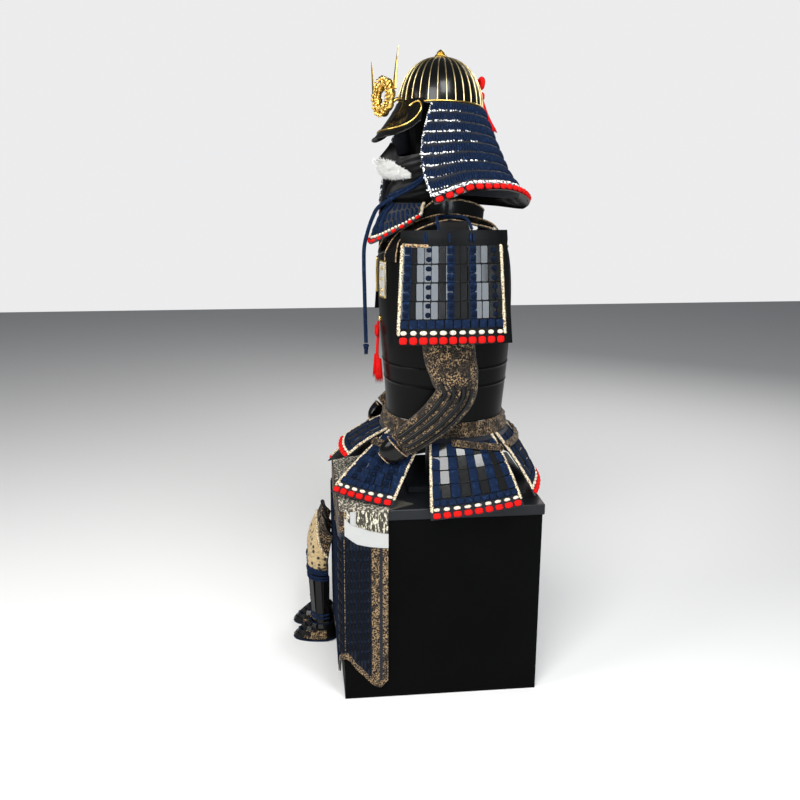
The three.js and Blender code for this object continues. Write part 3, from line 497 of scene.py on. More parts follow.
# Shader maths
class Number:
    """A number in a shader that takes Python's arithmetic."""

    def __init__(self, look, socket):
        self.look = look
        self.socket = socket

    def math(self, operation, *others):
        values = [other.socket if isinstance(other, Number) else other for other in (self, *others)]
        node = self.look.node("ShaderNodeMath", {"operation": operation}, dict(enumerate(values)))
        return Number(self.look, node.outputs[0])

    def __add__(self, other):
        return self.math("ADD", other)

    def __mul__(self, other):
        return self.math("MULTIPLY", other)

    def __sub__(self, other):
        return self.math("SUBTRACT", other)

    def __rsub__(self, other):
        return (self * -1) + other

    def __truediv__(self, other):
        return self.math("DIVIDE", other)

    def __pow__(self, other):
        return self.math("POWER", other)

    __radd__ = __add__
    __rmul__ = __mul__

    def above(self, edge, soft=0.05):
        """1 where the number passes the edge, 0 below it, with a soft step."""
        values = {0: self.socket, 1: edge - soft, 2: edge + soft, 3: 0.0, 4: 1.0}
        node = self.look.node("ShaderNodeMapRange", {"clamp": True}, values)
        return Number(self.look, node.outputs[0])


class Look:
    """A material and the nodes that make it."""

    def __init__(self, name, color, roughness, metallic=0.0, sheen=0.0):
        self.material = bpy.data.materials.new(name)
        self.material.use_nodes = True
        self.tree = self.material.node_tree
        self.shader = self.tree.nodes["Principled BSDF"]
        self.color = (*color, 1.0)
        self.fix("Base Color", self.color)
        self.fix("Roughness", roughness)
        self.fix("Metallic", metallic)
        if sheen:
            self.fix("Sheen Weight", sheen)
            self.fix("Sheen Roughness", 0.5)
        self.place = self.node("ShaderNodeTexCoord").outputs["Object"]

    def fix(self, name, value):
        self.shader.inputs[name].default_value = value
        return self

    def node(self, kind, settings=None, values=None):
        node = self.tree.nodes.new(kind)
        for name, setting in (settings or {}).items():
            setattr(node, name, setting)
        for name, value in (values or {}).items():
            if isinstance(value, bpy.types.NodeSocket):
                self.tree.links.new(value, node.inputs[name])
            else:
                node.inputs[name].default_value = value
        return node

    def noise(self, scale, detail=2.0, stretch=None):
        spot = self.place
        if stretch:
            spot = self.node(
                "ShaderNodeMapping", None, {"Vector": self.place, "Scale": stretch}
            ).outputs[0]
        node = self.node("ShaderNodeTexNoise", None, {"Vector": spot, "Scale": scale, "Detail": detail})
        return Number(self, node.outputs["Fac"])

    def cells(self, scale, feature="F1", jitter=1.0):
        values = {"Vector": self.place, "Scale": scale, "Randomness": jitter}
        node = self.node("ShaderNodeTexVoronoi", {"feature": feature}, values)
        return Number(self, node.outputs["Distance"])

    def waves(self, scale, axis="Z", bend_by=0.0):
        settings = {"wave_type": "BANDS", "bands_direction": axis}
        values = {"Vector": self.place, "Scale": scale, "Distortion": bend_by}
        return Number(self, self.node("ShaderNodeTexWave", settings, values).outputs["Fac"])

    def blend(self, factor, a, b):
        values = {"Factor": factor.socket, "A": a, "B": b}
        sockets = {"Factor": 0, "A": 6, "B": 7}
        node = self.tree.nodes.new("ShaderNodeMix")
        node.data_type = "RGBA"
        for name, value in values.items():
            target = node.inputs[sockets[name]]
            if isinstance(value, bpy.types.NodeSocket):
                self.tree.links.new(value, target)
            else:
                target.default_value = (*value[:3], 1.0)
        return node.outputs[2]

    def feed(self, name, source):
        socket = source.socket if isinstance(source, Number) else source
        self.tree.links.new(socket, self.shader.inputs[name])

    def relief(self, height, depth, strength=1.0):
        """Raise the surface by a number, depth in metres."""
        values = {"Height": height.socket, "Distance": depth, "Strength": strength}
        self.feed("Normal", self.node("ShaderNodeBump", None, values).outputs["Normal"])


def scaled(color, factor):
    return tuple(min(1.0, c * factor) for c in color[:3])


def make_lacquer(name, color, roughness=0.16, coat=0.1):
    look = Look(name, color, roughness)
    look.fix("Coat Weight", coat)
    look.fix("Coat Roughness", 0.08)
    look.fix("Specular IOR Level", 0.18)
    haze = look.noise(38, 3)
    look.feed("Roughness", haze * 0.16 + (roughness - 0.06))
    look.feed("Base Color", look.blend(look.noise(9, 2), scaled(color, 0.7), scaled(color, 1.5)))
    look.relief(look.noise(90, 2), 0.0004, 0.25)
    return look.material


def make_satin(name, color, roughness=0.42, shine=0.16):
    look = Look(name, color, roughness)
    look.fix("Specular IOR Level", shine)
    grain = look.noise(60, 4, (1.0, 1.0, 0.12))
    look.feed("Roughness", grain * 0.22 + (roughness - 0.1))
    look.feed("Base Color", look.blend(look.noise(5, 3), scaled(color, 0.6), scaled(color, 1.5)))
    look.relief(grain, 0.0006, 0.3)
    return look.material


def make_gilt(name, color, roughness=0.24):
    look = Look(name, color, roughness, metallic=1.0)
    age = look.noise(70, 4)
    look.feed("Base Color", look.blend(age.above(0.56, 0.14), color, scaled(color, 0.45)))
    look.feed("Roughness", age * 0.3 + (roughness - 0.1))
    look.relief(look.noise(160, 2), 0.0005, 0.4)
    return look.material


def make_braid(name, color, pale=1.9, scale=260, worn=0.64):
    look = Look(name, color, 0.85)
    look.fix("Specular IOR Level", 0.1)
    ply = look.waves(scale, "DIAGONAL", 1.2)
    cross = look.waves(scale * 0.8, "Z", 2.0)
    body = ply * 0.6 + cross * 0.4
    rubbed = look.noise(150, 3).above(worn, 0.08)
    # The tone follows the plies, lighter on the raised plies and darker in the grooves between them:
    # painted highlight and painted shade over one dye
    tone = look.blend(body, scaled(color, 0.45), scaled(color, pale))
    look.feed("Base Color", look.blend(rubbed * 0.55, tone, scaled(color, pale * 2.6)))
    look.relief(body, 0.0012, 0.7)
    return look.material


def make_mottled(name, color, other, scale=150, share=0.5):
    look = Look(name, color, 0.85, sheen=0.2)
    spots = look.noise(scale, 2).above(share, 0.05)
    look.feed("Base Color", look.blend(spots, color, other))
    look.relief(look.noise(scale * 2, 2), 0.001, 0.6)
    return look.material


def make_brocade(name, ground, figure, share=0.5, cluster=0.46):
    look = Look(name, ground, 0.75, sheen=0.1)
    look.fix("Specular IOR Level", 0.2)
    speck = look.noise(290, 3).above(share, 0.03)
    scroll = look.noise(46, 3).above(cluster, 0.07)
    thread = look.waves(420, "Z")
    # Above 1.09 m, where the sleeves pass under the shoulder guards, the figure is left out: painted
    # shade
    height = look.node("ShaderNodeSeparateXYZ", None, {0: look.place}).outputs[2]
    clear_of_painted_shade = 1 - Number(look, height).above(1.09, 0.03)
    figured = speck * (scroll * 0.85 + 0.15) * (thread * 0.4 + 0.7) * clear_of_painted_shade
    tone = look.blend(look.noise(70, 2), scaled(figure, 0.55), scaled(figure, 1.45))
    look.feed("Base Color", look.blend(figured, ground, tone))
    look.feed("Roughness", 0.88 - figured * 0.3)
    look.relief(figured + thread * 0.25, 0.0009, 0.7)
    return look.material


def make_scribble(name, ground, figure):
    look = Look(name, ground, 0.8, sheen=0.1)
    streak = look.noise(110, 4, (1.0, 1.8, 0.55)).above(0.53, 0.03)
    speck = look.noise(260, 2).above(0.47, 0.06)
    # Behind y = -0.131 m, under the skirt panels, the figure is left out and only the dark ground shows:
    # painted shade
    back = look.node("ShaderNodeSeparateXYZ", None, {0: look.place}).outputs[1]
    front = 1 - Number(look, back).above(-0.131, 0.004)
    look.feed("Base Color", look.blend(streak * (speck * 0.7 + 0.3) * front, ground, figure))
    look.relief(streak + look.waves(420, "Z") * 0.3, 0.0008, 0.6)
    return look.material


def make_weave(name, color, shade=0.8, scale=520):
    look = Look(name, color, 0.9, sheen=0.15)
    threads = look.waves(scale, "X") * look.waves(scale, "Z")
    look.feed("Base Color", look.blend(look.noise(22, 3), scaled(color, shade), color))
    look.relief(threads + look.noise(18, 2) * 0.7, 0.0008, 0.5)
    return look.material


def make_dotted(name, color, dot):
    look = Look(name, color, 0.85, sheen=0.15)
    dots = 1 - look.cells(64, "F1", 0.35).above(0.3, 0.05)
    speck = look.noise(160, 3).above(0.58, 0.05)
    look.feed("Base Color", look.blend(dots, look.blend(speck * 0.7, color, scaled(color, 0.3)), dot))
    look.relief(look.waves(420, "Z") + dots, 0.0007, 0.5)
    return look.material


FINISHES = {}


def finish(name):
    """The armour's materials, each made when it is first asked for."""
    if name in FINISHES:
        return FINISHES[name]
    c = bpy.context.scene.armour_colors
    makers = {
        "lacquer": lambda: make_lacquer("black_lacquer", c.lacquer, 0.2),
        "plates": lambda: make_lacquer("plate_lacquer", c.plates, 0.13, 0.5),
        "mask": lambda: make_lacquer("mask_lacquer", scaled(c.lacquer, 0.5), 0.42, 0.0),
        "satin": lambda: make_satin("cuirass_satin_lacquer", c.lacquer, 0.3, 0.08),
        "box": lambda: make_satin("box_black", c.box, 0.55, 0.03),
        "lid": lambda: make_satin("lid_black", c.lid, 0.36, 0.2),
        # Near-black stand wood, so the gaps between the skirt panels show dark: painted shade
        "dark": lambda: make_satin("dark_stand_wood_painted_shade", c.lid, 0.5, 0.2),
        "gilt": lambda: make_gilt("gilt", c.gilt),
        "ribs": lambda: make_gilt("pale_gilt_ribs", c.ribs, 0.3),
        "navy": lambda: make_braid("navy_lacing", c.navy),
        "navy_dark": lambda: make_braid("dark_navy_knots", scaled(c.navy, 0.55), 1.7),
        "navy_ground": lambda: make_weave("navy_ground_cloth", scaled(c.navy, 0.4), 0.5),
        # White-mottled navy: worn white lacing in the guard's lowest row, and painted highlight on the
        # lames' lower edges and front ends
        "navy_worn_and_highlit": lambda: make_mottled("worn_and_highlit_navy_and_white_lacing", c.white, c.navy, 230, 0.52),
        "red": lambda: make_braid("red_cord", c.red, 1.25, worn=0.8),
        "cream": lambda: make_mottled("cream_and_brown_braid", c.cream, c.brown, 260, 0.56),
        "ovals": lambda: make_mottled("cream_knots", c.pale, c.brown, 330, 0.62),
        "brown": lambda: make_mottled("gold_brown_braid", c.figure, c.ground, 300, 0.52),
        "brocade": lambda: make_brocade("black_brocade", c.ground, c.figure, 0.55, 0.5),
        "stripe_brocade": lambda: make_brocade("gold_brown_brocade", c.ground, c.figure, 0.52, 0.42),
        "roll_brocade": lambda: make_brocade(
            "brown_roll_brocade", c.ground, scaled(c.figure, 0.75), 0.52, 0.49
        ),
        "pale_brocade": lambda: make_scribble("cream_scribble_brocade", c.olive, c.pale),
        "white": lambda: make_weave("white_cloth", scaled(c.white, 0.5), 0.8),
        "hair": lambda: make_weave("white_hair", c.white, 0.8, 900),
        "dotted": lambda: make_dotted("tan_dotted_cloth", c.tan, c.ground),
    }
    FINISHES[name] = makers[name]()
    return FINISHES[name]


# Meshes
def piece(name, mesh, look, slot, nodes=()):
    """Hand a finished mesh to the frame."""
    ob = bpy.data.objects.new(name, mesh)
    bpy.context.scene.collection.objects.link(ob)
    if look and not mesh.materials:
        mesh.materials.append(finish(look))
    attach(ob, "root")
    if nodes:
        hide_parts(*nodes)
    return ob


def outward(points, ring):
    if ring:
        wrapped = np.concatenate([points[-1:], points, points[:1]])
        across = wrapped[2:] - wrapped[:-2]
    else:
        across = np.gradient(points, axis=0)
    normal = np.cross(across, np.gradient(points, axis=1))
    return normal / np.maximum(np.linalg.norm(normal, axis=2, keepdims=True), 1e-9)


def lengths(points, axis):
    """Mean way along one side of a grid, for its UV map and its cut."""
    step = np.linalg.norm(np.diff(points, axis=axis), axis=2).mean(axis=1 - axis)
    return np.concatenate([[0.0], np.cumsum(step)])


def wall_mesh(name, at, us, vs, thick, lift=None, ring=False, side=1, sharp=40):
    """A closed wall over a form, with its outside raised by lift(u, v), all in millimetres."""
    points = np.array([[at(u, v) for v in vs] for u in us], float)
    normal = outward(points, ring) * side
    raised = np.array([[lift(u, v) if lift else 0.0 for v in vs] for u in us])[..., None]
    outer = points + normal * raised
    inner = points - normal * thick
    m, n = len(us), len(vs)
    verts = np.concatenate([outer.reshape(-1, 3), inner.reshape(-1, 3)]) * MM
    faces = []
    spans = m if ring else m - 1

    def face(*corners):
        faces.append(corners if side == 1 else corners[::-1])

    for i in range(spans):
        k = (i + 1) % m
        for j in range(n - 1):
            a, b, c, d = i * n + j, k * n + j, k * n + j + 1, i * n + j + 1
            face(a, b, c, d)
            face(*(q + m * n for q in (a, d, c, b)))
        face(i * n, i * n + m * n, k * n + m * n, k * n)
        face(k * n + n - 1, k * n + n - 1 + m * n, i * n + n - 1 + m * n, i * n + n - 1)
    if not ring:
        for j in range(n - 1):
            face(j, j + 1, j + 1 + m * n, j + m * n)
            e = (m - 1) * n + j
            face(e, e + m * n, e + 1 + m * n, e + 1)
    mesh = bpy.data.meshes.new(name)
    mesh.from_pydata(verts.tolist(), [], faces)
    wide, tall = lengths(points, 0) * MM, lengths(points, 1) * MM
    uv = np.array([[wide[i], tall[j]] for i in range(m) for j in range(n)] * 2)
    corner = np.zeros(len(mesh.loops), np.int32)
    mesh.loops.foreach_get("vertex_index", corner)
    mesh.uv_layers.new(name="cut").data.foreach_set("uv", uv[corner].ravel())
    mesh.polygons.foreach_set("use_smooth", [True] * len(mesh.polygons))
    mesh.set_sharp_from_angle(angle=sharp * DEG)
    mesh.validate()
    return mesh


def wall(name, at, us, vs, thick, look, slot, nodes=(), **more):
    return piece(name, wall_mesh(name, at, us, vs, thick, **more), look, slot, nodes)


def cut_of(at, us, vs):
    """Width, length and area of a form laid flat, in metres."""
    points = np.array([[at(u, v) for v in vs] for u in us], float) * MM
    wide = np.linalg.norm(np.diff(points, axis=0), axis=2).sum(axis=0).max()
    tall = np.linalg.norm(np.diff(points, axis=1), axis=2).sum(axis=1).max()
    a = points[1:, :-1] - points[:-1, :-1]
    b = points[:-1, 1:] - points[:-1, :-1]
    c = points[1:, 1:] - points[1:, :-1]
    d = points[1:, 1:] - points[:-1, 1:]
    area = (np.linalg.norm(np.cross(a, b), axis=2) + np.linalg.norm(np.cross(c, d), axis=2)).sum() / 2
    return float(wide), float(tall), float(area)


def sheet(at, us, vs):
    wide, tall, area = cut_of(at, us, vs)
    area = min(area, wide * tall)


# Geometry Nodes: a form repeated on spots, and a tube along a path
def new_tree(name, sockets):
    tree = bpy.data.node_groups.new(name, "GeometryNodeTree")
    tree.interface.new_socket("Geometry", in_out="INPUT", socket_type="NodeSocketGeometry")
    for label, kind, value in sockets:
        socket = tree.interface.new_socket(label, in_out="INPUT", socket_type="NodeSocket" + kind)
        if value is not None:
            socket.default_value = value
    tree.interface.new_socket("Geometry", in_out="OUTPUT", socket_type="NodeSocketGeometry")
    return tree


def tree_node(tree, kind, settings=None, values=None):
    node = tree.nodes.new(kind)
    for name, setting in (settings or {}).items():
        setattr(node, name, setting)
    for name, value in (values or {}).items():
        if isinstance(value, bpy.types.NodeSocket):
            tree.links.new(value, node.inputs[name])
        else:
            node.inputs[name].default_value = value
    return node


def repeat_tree():
    """The form on every spot, turned to the spot's facing and way, with a little unevenness."""
    if "repeat_on_spots" in bpy.data.node_groups:
        return bpy.data.node_groups["repeat_on_spots"]
    sockets = [
        ("Form", "Object", None),
        ("Finish", "Material", None),
        ("Width", "Float", 1.0),
        ("Length", "Float", 1.0),
        ("Height", "Float", 1.0),
        ("Unevenness", "Float", 0.0),
        ("Seed", "Int", 7),
    ]
    tree = new_tree("repeat_on_spots", sockets)
    entry = tree_node(tree, "NodeGroupInput").outputs
    read = [
        tree_node(
            tree, "GeometryNodeInputNamedAttribute", {"data_type": "FLOAT_VECTOR"}, {"Name": name}
        ).outputs[0]
        for name in ("facing", "way", "size")
    ]
    axes = {"primary_axis": "Z", "secondary_axis": "X"}
    rotation = tree_node(tree, "FunctionNodeAxesToRotation", axes, {0: read[0], 1: read[1]}).outputs[0]
    sizes = {"X": entry["Width"], "Y": entry["Length"], "Z": entry["Height"]}
    size = tree_node(tree, "ShaderNodeCombineXYZ", None, sizes).outputs[0]
    low = tree_node(
        tree, "ShaderNodeMath", {"operation": "SUBTRACT"}, {0: 1.0, 1: entry["Unevenness"]}
    ).outputs[0]
    high = tree_node(
        tree, "ShaderNodeMath", {"operation": "ADD"}, {0: 1.0, 1: entry["Unevenness"]}
    ).outputs[0]
    bounds = {0: low, 1: high, "Seed": entry["Seed"]}
    chance = tree_node(tree, "FunctionNodeRandomValue", {"data_type": "FLOAT_VECTOR"}, bounds).outputs[0]
    for factor in (read[2], chance):
        size = tree_node(
            tree, "ShaderNodeVectorMath", {"operation": "MULTIPLY"}, {0: size, 1: factor}
        ).outputs[0]
    form = tree_node(tree, "GeometryNodeObjectInfo", None, {"Object": entry["Form"]}).outputs["Geometry"]
    spread = {"Points": entry["Geometry"], "Instance": form, "Rotation": rotation, "Scale": size}
    made = tree_node(tree, "GeometryNodeInstanceOnPoints", None, spread).outputs[0]
    real = tree_node(tree, "GeometryNodeRealizeInstances", None, {"Geometry": made}).outputs[0]
    dressed = tree_node(
        tree, "GeometryNodeSetMaterial", None, {"Geometry": real, "Material": entry["Finish"]}
    )
    tree_node(tree, "NodeGroupOutput", None, {"Geometry": dressed.outputs[0]})
    return tree


def tube_tree():
    """A round cord or rim along a path of edges."""
    if "tube_on_path" in bpy.data.node_groups:
        return bpy.data.node_groups["tube_on_path"]
    sockets = [("Finish", "Material", None), ("Radius", "Float", 0.002), ("Sides", "Int", 8)]
    tree = new_tree("tube_on_path", sockets)
    entry = tree_node(tree, "NodeGroupInput").outputs
    curve = tree_node(tree, "GeometryNodeMeshToCurve", None, {"Mesh": entry["Geometry"]}).outputs[0]
    section = tree_node(
        tree, "GeometryNodeCurvePrimitiveCircle", None,
        {"Resolution": entry["Sides"], "Radius": entry["Radius"]},
    )
    swept = {"Curve": curve, "Profile Curve": section.outputs[0], "Fill Caps": True}
    made = tree_node(tree, "GeometryNodeCurveToMesh", None, swept).outputs[0]
    real = tree_node(tree, "GeometryNodeRealizeInstances", None, {"Geometry": made}).outputs[0]
    smooth = tree_node(tree, "GeometryNodeSetShadeSmooth", None, {"Geometry": real}).outputs[0]
    dressed = tree_node(
        tree, "GeometryNodeSetMaterial", None, {"Geometry": smooth, "Material": entry["Finish"]}
    )
    tree_node(tree, "NodeGroupOutput", None, {"Geometry": dressed.outputs[0]})
    return tree


def grown(name, source, tree, values):
    """The plain mesh that a tree makes of a source mesh."""
    ob = bpy.data.objects.new(name + "_source", source)
    bpy.context.scene.collection.objects.link(ob)
    modifier = ob.modifiers.new("make", "NODES")
    modifier.node_group = tree
    names = {s.name: s.identifier for s in tree.interface.items_tree if s.in_out == "INPUT"}
    for label, value in values.items():
        modifier[names[label]] = value
    bpy.context.view_layer.update()
    mesh = bpy.data.meshes.new_from_object(ob.evaluated_get(bpy.context.evaluated_depsgraph_get()))
    bpy.data.objects.remove(ob)
    mesh.name = name
    return mesh


FORMS = {}


def form(name):
    """Small shapes that repeat, each one unit across: bead, knot, plate, cord and lock of hair."""
    if name in FORMS:
        return FORMS[name]

    def squircle(rows, sides, power, dome, base):
        verts = [(0.0, 0.0, base)]
        for reach, high in rows:
            for k in range(sides):
                a = 2 * math.pi * k / sides
                verts.append(
                    (
                        reach * 0.5 * bend(math.cos(a), power), reach * 0.5 * bend(math.sin(a), power),
                        high,
                    )
                )
        verts.append((0.0, 0.0, dome))
        faces = [(0, 1 + (k + 1) % sides, 1 + k) for k in range(sides)]
        for r in range(len(rows) - 1):
            for k in range(sides):
                a, b = 1 + r * sides + k, 1 + r * sides + (k + 1) % sides
                faces.append((a, b, b + sides, a + sides))
        last = 1 + (len(rows) - 1) * sides
        faces += [(last + k, last + (k + 1) % sides, len(verts) - 1) for k in range(sides)]
        return verts, faces

    shapes = {
        "bead": ([(0.7, -0.15), (1.0, 0.2), (0.92, 0.62), (0.55, 0.93)], 12, 0.62, 1.0, -0.2),
        "knot": ([(0.8, -0.1), (1.0, 0.25), (0.8, 0.7), (0.4, 0.95)], 10, 0.9, 1.0, -0.15),
        "plate": ([(1.0, 0.0), (1.0, 0.7), (0.95, 1.0)], 20, 0.16, 1.0, 0.0),
        "ribbon": ([(0.97, -0.1), (1.0, 0.45), (0.9, 0.88), (0.55, 1.0)], 16, 0.3, 1.0, -0.1),
        "cord": ([(0.85, -0.1), (1.0, 0.3), (0.75, 0.8), (0.35, 0.98)], 8, 0.55, 1.0, -0.1),
        "lock": ([(1.0, 0.0), (0.8, 0.33), (0.5, 0.7)], 5, 1.0, 1.0, -0.02),
    }
    verts, faces = squircle(*shapes[name])
    mesh = bpy.data.meshes.new("form_" + name)
    mesh.from_pydata(verts, [], faces)
    mesh.polygons.foreach_set("use_smooth", [name != "plate"] * len(faces))
    FORMS[name] = bpy.data.objects.new("form_" + name, mesh)
    return FORMS[name]


def spot(at, u, v, out=0.0, side=1, size=(1, 1, 1)):
    """A place on a form with its facing and its way across, in millimetres."""
    e = 1e-3
    across = Vector(at(u + e, v)) - Vector(at(u - e, v))
    up = Vector(at(u, v + e)) - Vector(at(u, v - e))
    facing = across.cross(up).normalized() * side
    return Vector(at(u, v)) + facing * out, facing, across.normalized(), size


def repeated(name, shape, spots, look, size, slot, nodes=(), uneven=0.0, seed=7):
    """One form on many spots, size (across, along, high) in millimetres."""
    mesh = bpy.data.meshes.new(name + "_spots")
    mesh.from_pydata([tuple(Vector(s[0]) * MM) for s in spots], [], [])
    for label, column in (("facing", 1), ("way", 2), ("size", 3)):
        values = np.array([list(s[column]) for s in spots], np.float32)
        mesh.attributes.new(label, "FLOAT_VECTOR", "POINT").data.foreach_set("vector", values.ravel())
    values = {"Form": form(shape), "Finish": finish(look), "Unevenness": uneven, "Seed": seed}
    values.update(zip(("Width", "Length", "Height"), (s * MM for s in size)))
    return piece(name, grown(name, mesh, repeat_tree(), values), look, slot, nodes)


def tube(name, paths, radius, look, slot, nodes=(), closed=False, sides=8):
    """Round cords along one or more paths of points, in millimetres."""
    verts, edges = [], []
    for path in paths:
        first = len(verts)
        verts += [tuple(Vector(p) * MM) for p in path]
        edges += [(k, k + 1) for k in range(first, len(verts) - 1)]
        if closed:
            edges.append((len(verts) - 1, first))
    mesh = bpy.data.meshes.new(name + "_path")
    mesh.from_pydata(verts, edges, [])
    values = {"Finish": finish(look), "Radius": radius * MM, "Sides": sides}
    return piece(name, grown(name, mesh, tube_tree(), values), look, slot, nodes)


def curve_through(points, count):
    return [evenly(points, t) for t in steps(count)]


def on_edge(at, way, count, out=0.0, side=1):
    """Spots along a path way(t) = (u, v) over a form, evenly by length, with the way as their across."""
    fine = [Vector(at(*way(t))) for t in steps(count * 6)]
    run = [0.0]
    for a, b in zip(fine, fine[1:]):
        run.append(run[-1] + (b - a).length)
    spots = []
    for k in range(count):
        goal = (k + 0.5) / count * run[-1]
        i = max(j for j in range(len(run)) if run[j] <= goal)
        i = min(i, len(fine) - 2)
        t = (i + (goal - run[i]) / max(run[i + 1] - run[i], 1e-9)) / (count * 6)
        place, facing, _, _ = spot(at, *way(t), out=out, side=side)
        spots.append((place, facing, (fine[i + 1] - fine[i]).normalized(), (1, 1, 1)))
    return spots


def edge_braid(name, at, ways, pitch, size, out=1.0, side=1, look="cream", slot="navy_cord"):
    """Twisted two-colour braid along the edges of a form."""
    spots = []
    for way in ways:
        fine = [Vector(at(*way(t))) for t in steps(24)]
        total = sum((b - a).length for a, b in zip(fine, fine[1:]))
        line = on_edge(at, way, max(3, int(total / pitch)), out, side)
        for place, facing, along_edge, _ in line:
            slant = Matrix.Rotation(34 * DEG, 3, facing) @ along_edge
            spots.append((place, facing, slant, (1, 1, 1)))
    return repeated(name, "cord", spots, look, size, slot, uneven=0.12)


def tilted(on, yaw, pitch):
    """A spot turned a little about its own upright and its way across, in degrees."""
    place, facing, across, size = on
    spin = Matrix.Rotation(pitch * DEG, 3, across) @ Matrix.Rotation(yaw * DEG, 3, facing.cross(across))
    return place, spin @ facing, spin @ across, size


def laced_panel(name, at, wide, tall, options):
    """A panel of lacquered plates with lacing over them, braided sides, a band, knots and beads."""
    side, slot = options.get("side", 1), options.get("slot", "navy_cord")
    rows, plates, beads = options["rows"], options["plates"], options["beads"]
    low, top = options.get("low", 0.225), options.get("top", 0.87)
    turned = (lambda u: 1 - u) if options.get("turned") else (lambda u: u)
    left, right = options.get("margins", (0.02, 0.98))
    crown = options.get("crown", 0)
    rng = np.random.default_rng(options.get("seed", 3))
    vs = steps(24)
    lift = (lambda u, v: crown if v > top + 0.015 else 0.0) if crown else None
    wall(
        name + "_ground", at, steps(3 * plates), vs, 2, options.get("ground", "navy_ground"), slot,
        options["nodes"], side=side, lift=lift,
    )
    pitch = tall * (top - low) / rows
    lean = rng.normal(0, options.get("lean", 2.2), plates)
    spots = []
    for r in range(rows):
        for c in range(plates):
            u = mix(left, right, (c + 0.5) / plates)
            on = spot(at, turned(u), mix(low, top, (r + 0.5) / rows), 0.2, side)
            spots.append(tilted(on, lean[c] + rng.normal(0, 0.7), rng.normal(0, 0.8)))
    plate_size = (wide * (right - left) / plates - 0.9, pitch - 1.2, 3.0)
    repeated(name + "_plates", "plate", spots, "plates", plate_size, slot, uneven=0.01)
    halves = options.get("halves", 2)
    spots = []
    for u in options["ribbons"]:
        for i in range(rows * halves):
            on = spot(at, turned(u), mix(low, top, (i + 0.5) / (rows * halves)), 2.2, side)
            spots.append(tilted(on, rng.normal(0, 2), rng.normal(0, 3)))
    ribbon = (options.get("ribbon", 16), pitch / halves - 0.6, 3.0)
    repeated(name + "_lacing", "ribbon", spots, "navy", ribbon, slot, uneven=0.06)
    spots = []
    for u in options["knots"]:
        for i in range(rows * 2):
            if rng.random() < options.get("kept", 1.0):
                on = spot(at, turned(u), mix(low, top, (i + 0.5) / (rows * 2)), 3.4, side)
                spots.append(tilted(on, rng.normal(0, 4), rng.normal(0, 4)))
    if spots:
        repeated(
            name + "_knots", "knot", spots, "navy_dark", options.get("knot", (13, 11.5, 5)), slot,
            uneven=0.1,
        )
    braids = options.get("braids", (left - 0.005, right + 0.005))
    edges = [lambda t, u=u: (turned(u), mix(0.09, options.get("braid_top", 0.99), t)) for u in braids]
    edge_braid(name + "_side_braid", at, edges, 5.6, (9.5, 6.5, 5), 1.4, side=side)
    band = options.get("band", (0.145, 0.222))
    count = options.get("band_count", 12)
    line = [
        spot(at, turned(mix(left, right, (k + 0.5) / count)), mix(*band, 0.5), 1.2, side)
        for k in range(count)
    ]
    squares = (wide * (right - left) / count - 1, tall * (band[1] - band[0]), 4.6)
    repeated(name + "_band", "ribbon", line, "navy", squares, slot, uneven=0.05)
    ends = (left - 0.005, right + 0.005)
    ovals = [
        spot(at, turned(mix(*ends, (k + 0.5) / beads)), options.get("oval_at", 0.108), 0.8, side)
        for k in range(beads)
    ]
    repeated(
        name + "_ovals", "knot", ovals, "ovals", (wide / beads * 0.66, tall * 0.026 + 3.4, 6), slot,
        uneven=0.12,
    )
    reds = [
        spot(at, turned(mix(*ends, (k + 0.5) / beads)), options.get("bead_at", 0.04), 0.4, side)
        for k in range(beads)
    ]
    repeated(
        name + "_beads", "bead", reds, "red", (wide / beads * 0.8, tall * 0.036 + 7, 9), slot,
        uneven=0.07,
    )


# Properties a user would change
def shade(label, text, value):
    return bpy.props.FloatVectorProperty(
        name=label, description=text, subtype="COLOR", size=3, min=0, max=1, default=value
    )


class ArmourColors(bpy.types.PropertyGroup):
    """Colours of the armour's finishes."""

    lacquer: shade("Lacquer", "Black of the lacquered pieces", (0.003, 0.003, 0.003))
    plates: shade("Plates", "Brown-black of the laced plates", (0.008, 0.008, 0.008))
    navy: shade("Lacing", "Navy of the braided lacing", (0.0040, 0.0105, 0.0300))
    red: shade("Red", "Red of the beads, bow and tassel", (0.80, 0.010, 0.008))
    gilt: shade("Gilt", "Gold of the crest and fittings", (0.92, 0.62, 0.16))
    ribs: shade("Ribs", "Pale gold of the bowl's ribs", (0.85, 0.68, 0.34))
    cream: shade("Cream", "Cream of the knots and braids", (0.66, 0.56, 0.38))
    brown: shade("Brown", "Brown of the braids", (0.16, 0.085, 0.04))
    ground: shade("Brocade ground", "Black of the brocade", (0.005, 0.004, 0.004))
    figure: shade("Brocade figure", "Gold-brown of the brocade's figures", (0.42, 0.27, 0.13))
    white: shade("White", "White cloth and hair", (0.92, 0.91, 0.87))
    tan: shade("Tan", "Ground of the knee cloth", (0.50, 0.36, 0.17))
    box: shade("Box", "Black of the storage box", (0.0015, 0.0015, 0.0015))
    lid: shade("Lid", "Grey-black of the lid", (0.008, 0.009, 0.011))
    pale: shade("Pale", "Palest cream of the knots and figured cloth", (0.74, 0.68, 0.52))
    olive: shade("Olive", "Dark olive ground of the thigh cloths", (0.035, 0.030, 0.018))


class ArmourSizes(bpy.types.PropertyGroup):
    """Sizes of the armour's finer work."""

    rib_count: bpy.props.IntProperty(
        name="Ribs", description="Gilt ribs round the bowl", default=30, min=8, max=60
    )
    rib_radius: bpy.props.FloatProperty(
        name="Rib radius", description="Half the width of a gilt rib", default=0.0014,
        unit="LENGTH", min=0.0005, max=0.004,
    )
    lace_width: bpy.props.FloatProperty(
        name="Lace width", description="Width of one lace of the neck guard", default=0.006,
        unit="LENGTH", min=0.003, max=0.02,
    )
    guard_beads: bpy.props.IntProperty(
        name="Guard beads", description="Red beads round the neck guard", default=34, min=8, max=80
    )
    hair_count: bpy.props.IntProperty(
        name="Hair", description="Locks of the moustache", default=2400, min=200, max=6000
    )


